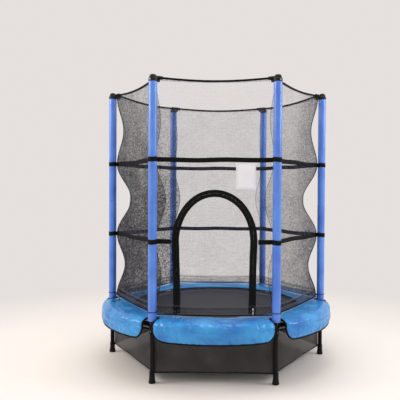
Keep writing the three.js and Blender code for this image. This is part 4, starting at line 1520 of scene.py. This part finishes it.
@dataclass
class PaddedPole:
    """A pole's foam sleeve and its cap. The steel inside is the CAD's own."""

    radius: float = SLEEVE_RADIUS
    low: float = 0.3283
    high: float = 1.5817
    pinches: tuple[float, ...] = (0.376, 0.745, 1.177)
    joint: float = 0.940

    def build(self, f: Finishes) -> None:
        """Builds the six sleeves and caps."""
        for i, corner in enumerate(CORNERS):
            self.sleeve(i, corner, f)
            self.cap(corner, pole_axis(i), f)
            for half in ("lower", "upper"):
                dress(f"pole_{half}_{corner}", f.zinc)

    def sleeve(self, i: int, corner: str, f: Finishes) -> None:
        """A foam sleeve, squeezed by the straps and the tie, with a crease at the pole's joint."""
        even = set(np.round(np.linspace(self.low + 0.003, self.high - 0.003, 110), 5))
        levels = sorted(even | {self.joint - 0.003, self.joint, self.joint + 0.003})
        bore, rim, shoulder = 0.0129, self.radius - 0.0016, self.radius - 0.0004
        profile = [(bore, self.low), (rim, self.low), (shoulder, self.low + 0.0012)]
        profile += [(self.radius, z) for z in levels]
        profile += [(shoulder, self.high - 0.0012), (rim, self.high), (bore, self.high), (bore, self.low)]

        def warp(angle: float, z: float, r: float) -> float:
            """How far the foam stands off its true radius."""
            if r < self.radius - 0.002:
                return 0.0
            squeeze = sum(0.0012 * math.exp(-(((z - p) / 0.016) ** 2)) for p in self.pinches)
            crease = 0.0007 * math.exp(-(((z - self.joint) / 0.003) ** 2))
            spot = Vector((math.cos(angle) * 0.8 + i * 5, math.sin(angle) * 0.8, z * 14))
            lumps = 0.0006 * noise.noise(spot)
            seam = 0.0005 * math.exp(-(((angle - math.pi) / 0.07) ** 2))
            return -squeeze - crease + lumps - 0.0004 - seam

        shell = Shell().lathe(profile, pole_axis(i), 40, warp)
        obj = piece(f"sleeve_{corner}", shell, [f.foam], Slot.FOAM, stands_for=[f"foam_sleeve_{corner}"])
        smooth_by_angle(obj, 50)

    def cap(self, corner: str, matrix: Matrix, f: Finishes) -> None:
        """A moulded cap: skirt, shoulder and dome, with the eyelets that the rope runs through."""
        low, top = 1.5822, 1.620
        shell = Shell()
        profile = [(0.0, low), (0.0222, low), (0.0236, low + 0.0012), (0.0240, low + 0.006)]
        profile += [(0.0236, low + 0.014), (0.0212, low + 0.0175)]
        profile += [(0.0192, low + 0.020), (0.0186, low + 0.026)]
        for k in range(1, 9):
            a = math.pi / 2 * k / 8
            profile.append((0.0186 * math.cos(a), low + 0.026 + (top - low - 0.026) * math.sin(a)))
        shell.lathe(profile, matrix, 36)
        rope_r, rope_z = -0.028, 1.606
        for side in (-1, 1):
            lean = math.radians(30)
            along = Vector((-math.sin(lean), side * math.cos(lean), -0.10)).normalized()
            start = matrix @ Vector((rope_r + 0.001, 0, rope_z))
            step = matrix.to_3x3() @ along
            spout = [start + step * reach for reach in (-0.004, 0.012, 0.030, 0.0325, 0.0345)]
            shell.tube(spout, lambda t: (0.0096, 0.0100, 0.0092, 0.0104, 0.0098)[round(t * 4)], 18)
        web = matrix @ Matrix.Translation((-0.018, 0, 1.600))
        shell.block(web, (0.024, 0.030, 0.016))
        lug = matrix @ Matrix.Translation((-0.0300, 0, 1.5915))
        shell.block(lug, (0.020, 0.032, 0.017))
        obj = piece(f"cap_{corner}", shell, [f.nylon], Slot.PLASTIC, stands_for=[f"pole_cap_{corner}"])
        smooth_by_angle(obj, 40)
        head = [(0.0, 0.0), (0.0046, 0.0), (0.0044, 0.0012), (0.0, 0.0022)]
        screw = Shell().lathe(head, matrix @ Matrix.Translation((0.0234, 0, 1.590)) @ OUTWARD, 14)
        piece(f"cap_screw_{corner}", screw, [f.zinc], Slot.BARE)


def dress(name: str, finish: bpy.types.Material) -> None:
    """Gives a CAD node its finish."""
    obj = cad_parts[name]
    for slot in obj.material_slots:
        slot.material = finish
    if not obj.material_slots:
        obj.data.materials.append(finish)


# ---------------------------------------------------------------- bed


@dataclass
class JumpingBed:
    """The mat and the elastic cord that laces it to the ring."""

    radius: float = 0.520
    height: float = 0.312
    ring_radius: float = RING_RADIUS
    ring_height: float = RING_HEIGHT
    loops: int = 24
    cord: float = 0.003

    def build(self, f: Finishes) -> None:
        """Builds the bed."""
        self.mat(f)
        self.edge(f)
        self.rings(f)
        self.lacing(f)

    def sag(self, r: float) -> float:
        """How far the mat hangs below its edge."""
        return 0.004 * (1 - (r / self.radius) ** 2)

    def mat(self, f: Finishes) -> None:
        """The woven mat, with soft ripples that run in from its edge."""

        def place(u: float, v: float) -> Vector:
            """The point at a share of the way across and up."""
            a = 2 * math.pi * u
            r = self.radius * v
            soft = noise.noise(Vector((r * math.cos(a) * 6, r * math.sin(a) * 6, 2.0)))
            ripple = 0.0010 * v**6 * math.sin(a * self.loops) + 0.0010 * soft
            return polar(r, a, self.height + 0.0005 - self.sag(r) + ripple)

        shell = remap(Shell().grid(96, 30, place, wrap=True), lambda p: (p.x, p.y))
        obj = piece("mat_cloth", shell, [f.mat], Slot.MAT, Body.MAT, ["jumping_mat"], weld=1e-5)

    def circle(self, r: float, rise: float, steps: int = 180) -> list[Vector]:
        """A circle on the mat."""
        z = self.height + 0.0005 - self.sag(r) + rise
        return [polar(r, 2 * math.pi * k / steps, z) for k in range(steps)]

    def edge(self, f: Finishes) -> None:
        """The webbing sewn round the mat's edge, and its rows of stitches."""
        band = self.circle(self.radius - 0.017, 0.0016)
        shell = Shell().ribbon(band, [p.xy.to_3d().normalized() for p in band], 0.036, 0.0022, closed=True)
        piece("mat_edge_webbing", shell, [f.webbing], Slot.WEBBING, Body.MAT)
        rows = Shell()
        for r in (self.radius - 0.004, self.radius - 0.030, self.radius - 0.055, self.radius - 0.075):
            path = self.circle(r, 0.0030 if r > self.radius - 0.034 else 0.0012)
            add_shell(rows, stitches(path + path[:1]))
        piece("mat_stitching", rows, [f.thread], Slot.MAT, Body.MAT)

    def rings(self, f: Finishes) -> None:
        """The wire rings at the mat's edge that the cord runs through."""
        shell = Shell()
        for loop in range(self.loops):
            a = 2 * math.pi * loop / self.loops
            centre = polar(self.radius + 0.001, a, self.height + 0.0006)
            turn = Matrix.Rotation(a, 3, "Z")
            shape = [(-0.010, -0.008), (-0.010, 0.008), (0.004, 0.005), (0.0085, 0.0), (0.004, -0.005)]
            shell.tube([centre + turn @ Vector((x, y, 0.0022)) for x, y in shape], 0.0013, 7, closed=True)
        piece("mat_wire_rings", shell, [f.zinc], Slot.BARE, Body.MAT)

    def lacing(self, f: Finishes) -> None:
        """The elastic cord, one turn round the ring to a piece."""
        pitch = 2 * math.pi / self.loops
        wrap = TUBE_RADIUS + self.cord + 0.0006
        for part in range(12):
            points = []
            for loop in (2 * part, 2 * part + 1):
                points.append(polar(self.radius + 0.0045, loop * pitch, self.height))
                for k in range(9):
                    around = math.pi / 2 - k * math.pi / 8
                    r = self.ring_radius + wrap * math.cos(around)
                    z = self.ring_height + wrap * math.sin(around)
                    points.append(polar(r, (loop + 0.44 + 0.015 * k) * pitch, z))
            points.append(polar(self.radius + 0.0045, (2 * part + 2) * pitch, self.height))
            path = []
            for a, b in zip(points, points[1:]):
                count = 8 if (b - a).length > 0.05 else 2
                path += [a.lerp(b, k / count) for k in range(count)]
            path.append(points[-1])
            shell = Shell().tube(path, self.cord, 8)
            stands = ["elastic_cord"] if part == 0 else []
            obj = piece(f"lacing_{part}", shell, [f.cord], Slot.ELASTIC, stands_for=stands, ride=False)
            middle = (2 * part + 1) * pitch
            still, moving = polar(0.622, middle, self.height), polar(0.515, middle, self.height)
            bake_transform(obj)
            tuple(still)
            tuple(moving)


# ---------------------------------------------------------------- cover


@dataclass
class PaddedCover:
    """The vinyl cover over the ring, with a flap between each pair of poles."""

    ring_radius: float = RING_RADIUS
    notch: float = 0.034
    notch_start: float = 0.6135
    bottom: float = 0.2365
    corner: float = 0.066
    columns: int = 104

    def section(self) -> list[tuple[float, float]]:
        """The middle of the cover's thickness, from its inner edge to the flap's bottom."""
        keys = [
            (0.503, 0.3225), (0.509, 0.3300), (0.528, 0.3370), (0.560, 0.3395), (0.600, 0.3395),
            (0.640, 0.3390), (0.664, 0.3365), (0.682, 0.3290), (0.6915, 0.3180), (0.6925, 0.3090),
            (0.6905, 0.3025), (0.6925, 0.2960), (0.6940, 0.2800), (0.6930, 0.2600), (0.6900, 0.2365),
        ]
        curve: list[tuple[float, float]] = []
        for k in range(len(keys) - 1):
            before, a, b, after = keys[max(0, k - 1)], keys[k], keys[k + 1], keys[min(len(keys) - 1, k + 2)]
            steps = max(2, round(math.dist(a, b) / 0.0055))
            for s in range(steps):
                t = s / steps
                curve.append(tuple(spline(before[c], a[c], b[c], after[c], t) for c in (0, 1)))
        curve.append(keys[-1])
        return curve

    def half_gap(self, r: float, z: float) -> float:
        """Half the gap between two flaps at a place on the section."""
        if r < self.notch_start:
            return 0.0
        reach = self.ring_radius - self.notch_start
        gap = self.notch * math.sqrt(max(0.0, 1 - (max(0.0, self.ring_radius - r) / reach) ** 2))
        low = self.bottom + self.corner
        if z < low:
            t = min(1.0, (low - z) / self.corner)
            gap += self.corner * (1 - math.sqrt(1 - t * t))
        return gap

    def build(self, f: Finishes) -> None:
        """Builds the cover, its binding and its seams."""
        rows = self.section()
        last = len(rows) - 1
        length = [0.0]
        for a, b in zip(rows, rows[1:]):
            length.append(length[-1] + math.dist(a, b))
        shell, binding, seams = Shell(), Shell(), Shell()
        for i in range(SIDES):
            spread = [HALF - math.asin(self.half_gap(r, z) / r) for r, z in rows]

            def middle(u: float, row: int) -> Vector:
                """A point midway through the cover's thickness."""
                r, z = rows[row]
                return polar(r, panel_angle(i) + (2 * u - 1) * spread[row], z)

            def normal(row: int, u: float) -> Vector:
                """The cover's outward direction."""
                a, b = rows[max(0, row - 1)], rows[min(last, row + 1)]
                dr, dz = b[0] - a[0], b[1] - a[1]
                size = math.hypot(dr, dz)
                angle = panel_angle(i) + (2 * u - 1) * spread[row]
                return polar(-dz / size, angle, dr / size)

            def place(u: float, v: float, side: int) -> Vector:
                """The point at a share of the way across and up."""
                row = round(v * last)
                p = middle(u, row)
                n = normal(row, u)
                thick = side * self.fatness(u, length[row] / length[-1])
                return p + n * (thick + self.wrinkle(p, u, v))

            shell.grid(self.columns, last, lambda u, v: place(u, v, 1), (0.72, length[-1]), flip=True)
            shell.grid(self.columns, last, lambda u, v: place(u, v, -1), (0.72, length[-1]))
            notch_rows = [k for k, (r, z) in enumerate(rows) if r > self.notch_start - 0.004]
            edge = [place(1.0, k / last, 0) for k in notch_rows]
            edge += [place(u, 1.0, 0) for u in np.linspace(1, 0, 50)[1:-1]]
            edge += [place(0.0, k / last, 0) for k in reversed(notch_rows)]
            binding.tube(edge, 0.0050, 8)
            seam = [middle(0.0, k) + normal(k, 0.0) * 0.0035 for k in range(0, notch_rows[0])]
            add_shell(seams, stitches(seam, 0.011, 0.007, 0.0008))
        obj = piece("cover_vinyl", shell, [f.vinyl], Slot.VINYL, stands_for=["frame_pad"], weld=0.0004)
        piece("cover_binding", binding, [f.binding], Slot.VINYL)
        piece("cover_seam_stitching", seams, [f.dark_thread], Slot.VINYL)
        self.inner_edge(rows[0], f)

    def fatness(self, u: float, run: float) -> float:
        """Half the thickness: full in the middle of a flap, thin at its seams."""
        side = min(u, 1 - u) * 0.68
        end = min(run, 1 - run) * 0.33
        near = min(side, end)
        return 0.0065 * min(1.0, near / 0.028) ** 0.5 if near > 0 else 0.0

    def wrinkle(self, p: Vector, u: float, v: float) -> float:
        """Folds along the flap, puckers above its binding and soft unevenness all over."""
        around = math.atan2(p.y, p.x) * 0.7
        soft = 0.0030 * noise.noise(Vector((p.x * 7, p.y * 7, p.z * 9)))
        flap = smooth((0.325 - p.z) / 0.04)
        bulge = 0.0035 * flap * noise.noise(Vector((around * 9, p.z * 26, 3.0)))
        low = smooth((0.290 - p.z) / 0.05)
        crease = abs(noise.noise(Vector((around * 24 + p.z * 14, p.z * 7, 4.0))))
        pucker = -low * 0.0100 * max(0.0, 1 - crease / 0.14)
        long = abs(noise.noise(Vector((around * 5, p.z * 40, 7.0))))
        pleat = -(1 - low) * 0.0030 * max(0.0, 1 - long / 0.12)
        edge = min(1.0, min(u, 1 - u) * 14, min(v, 1 - v) * 14)
        return (soft + bulge + pucker + pleat) * max(0.0, edge)

    def inner_edge(self, first: tuple[float, float], f: Finishes) -> None:
        """The turned hem round the cover's inner edge."""
        path = [polar(first[0] + 0.0005, 2 * math.pi * k / 180, first[1]) for k in range(180)]
        piece("cover_inner_hem", Shell().tube(path, 0.0022, 8, closed=True), [f.binding], Slot.VINYL)


def spline(p0: float, p1: float, p2: float, p3: float, t: float) -> float:
    """A smooth value between p1 and p2."""
    square = (2 * p0 - 5 * p1 + 4 * p2 - p3) * t * t
    cube = (3 * p1 - p0 - 3 * p2 + p3) * t**3
    return 0.5 * (2 * p1 + (p2 - p0) * t + square + cube)


# ---------------------------------------------------------------- skirt


@dataclass
class Skirt:
    """The mesh skirt between the legs."""

    radius: float = 0.6360
    top: float = 0.2825
    bottom: float = 0.0500

    def point(self, panel: int, u: float, v: float, out: float = 0.0) -> Vector:
        """A point of a panel, from its hem (v 0) up to the ring (v 1)."""
        offset = (2 * u - 1) * HALF
        straight = math.cos(HALF) / math.cos(offset)
        r = self.radius * (straight + (1 - straight) * v)
        slack = (1 - (2 * u - 1) ** 2) * 0.003 * math.sin(u * 11 + panel * 2.1) * (1 - v)
        lift = 0.004 * (1 - (2 * u - 1) ** 2) * (1 - v)
        z = self.bottom + lift + v * (self.top - self.bottom)
        return polar(r + slack + out, panel_angle(panel) + offset, z)

    def build(self, f: Finishes) -> None:
        """Builds the skirt, its hem and its ties."""
        shell, hem, ties = Shell(), Shell(), Shell()
        for panel in range(SIDES):
            shell.grid(28, 12, lambda u, v: self.point(panel, u, v), (0.64, self.top - self.bottom))
            path = [self.point(panel, k / 28, 0.0, 0.0008) + Vector((0, 0, 0.003)) for k in range(29)]
            hem.ribbon(path, [UP] * len(path), 0.0075, 0.0016)
            rim = [self.point(panel, k / 28, 1.0, 0.0) - Vector((0, 0, 0.002)) for k in range(29)]
            hem.ribbon(rim, [UP] * len(rim), 0.010, 0.0016)
        for i in range(SIDES):
            for z in (0.056, 0.262):
                inner = polar(self.radius, corner_angle(i), z)
                ties.tube([inner, *hoop(i, z, 0.0150, 165, 24), inner], 0.0014, 6)
        obj = piece("skirt_cloth", shell, [f.skirt], Slot.SKIRT, stands_for=["skirt"], weld=1e-5)
        piece("skirt_hem", hem, [f.binding], Slot.SKIRT)
        piece("skirt_ties", ties, [f.cord], Slot.ELASTIC)


# ---------------------------------------------------------------- studio


@dataclass
class Studio:
    """Floor, light and camera."""

    lens: float = 49.6
    place: tuple[float, float, float] = (0.060, -3.437, 1.007)
    yaw: float = 1.0
    pitch: float = -1.203
    roll: float = 0.32
    shift: tuple[float, float] = (-0.0415, 0.009)

    def build(self, f: Finishes) -> None:
        """Builds the studio."""
        scene = bpy.context.scene
        scene.view_settings.view_transform = "Standard"
        shell = Shell().grid(1, 1, lambda u, v: Vector((40 * u - 20, 40 * v - 20, 0)), (40, 40))
        mesh = shell.mesh("floor")
        mesh.materials.append(f.floor)
        floor = bpy.data.objects.new("floor", mesh)
        scene.collection.objects.link(floor)
        world = bpy.data.worlds.new("studio")
        world.use_nodes = True
        back = world.node_tree.nodes["Background"]
        back.inputs["Color"].default_value = linear(StudioFloor.backdrop)
        back.inputs["Strength"].default_value = 1.0
        scene.world = world
        self.light("key", (-3.1, -0.8, 2.3), 1.2, 46, "#fffaf4")
        self.light("fill", (3.1, -0.8, 2.1), 1.2, 38, "#f4f8ff")
        self.light("top", (0.2, 0.2, 4.2), 2.0, 36, "#ffffff")
        self.camera()

    def light(self, name: str, place: Sequence[float], size: float, watts: float, tint: str) -> None:
        """A soft square lamp aimed at the middle of the trampoline."""
        data = bpy.data.lights.new(name, "AREA")
        data.size = size
        data.energy = watts
        data.color = linear(tint)[:3]
        lamp = bpy.data.objects.new(name, data)
        aim = Vector((0, 0, 0.7)) - Vector(place)
        lamp.matrix_world = Matrix.Translation(place) @ aim.to_track_quat("-Z", "Y").to_matrix().to_4x4()
        bpy.context.scene.collection.objects.link(lamp)

    def camera(self) -> None:
        """The camera, a little to the right of the door and facing it."""
        data = bpy.data.cameras.new("camera")
        data.sensor_width = 36
        data.lens = self.lens
        data.shift_x, data.shift_y = self.shift
        camera = bpy.data.objects.new("camera", data)
        turn = Matrix.Rotation(math.radians(self.yaw), 4, "Z")
        turn = turn @ Matrix.Rotation(math.radians(90 + self.pitch), 4, "X")
        turn = turn @ Matrix.Rotation(math.radians(self.roll), 4, "Z")
        camera.matrix_world = Matrix.Translation(self.place) @ turn
        bpy.context.scene.collection.objects.link(camera)
        bpy.context.scene.camera = camera


def main() -> None:
    """Builds the trampoline, piece by piece."""
    logging.basicConfig(level=logging.INFO, format="%(message)s")
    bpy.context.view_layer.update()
    finishes = Finishes()
    Studio().build(finishes)
    RingFrame().build(finishes)
    PaddedPole().build(finishes)
    Enclosure().build(finishes)
    ZipDoor().build(finishes)
    JumpingBed().build(finishes)
    PaddedCover().build(finishes)
    Skirt().build(finishes)


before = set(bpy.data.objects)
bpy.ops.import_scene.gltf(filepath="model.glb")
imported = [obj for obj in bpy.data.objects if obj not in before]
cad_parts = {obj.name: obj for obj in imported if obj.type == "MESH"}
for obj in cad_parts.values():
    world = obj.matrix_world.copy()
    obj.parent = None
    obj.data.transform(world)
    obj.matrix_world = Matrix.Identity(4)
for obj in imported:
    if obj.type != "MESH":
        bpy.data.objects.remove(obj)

if __name__ == "__main__":
    main()
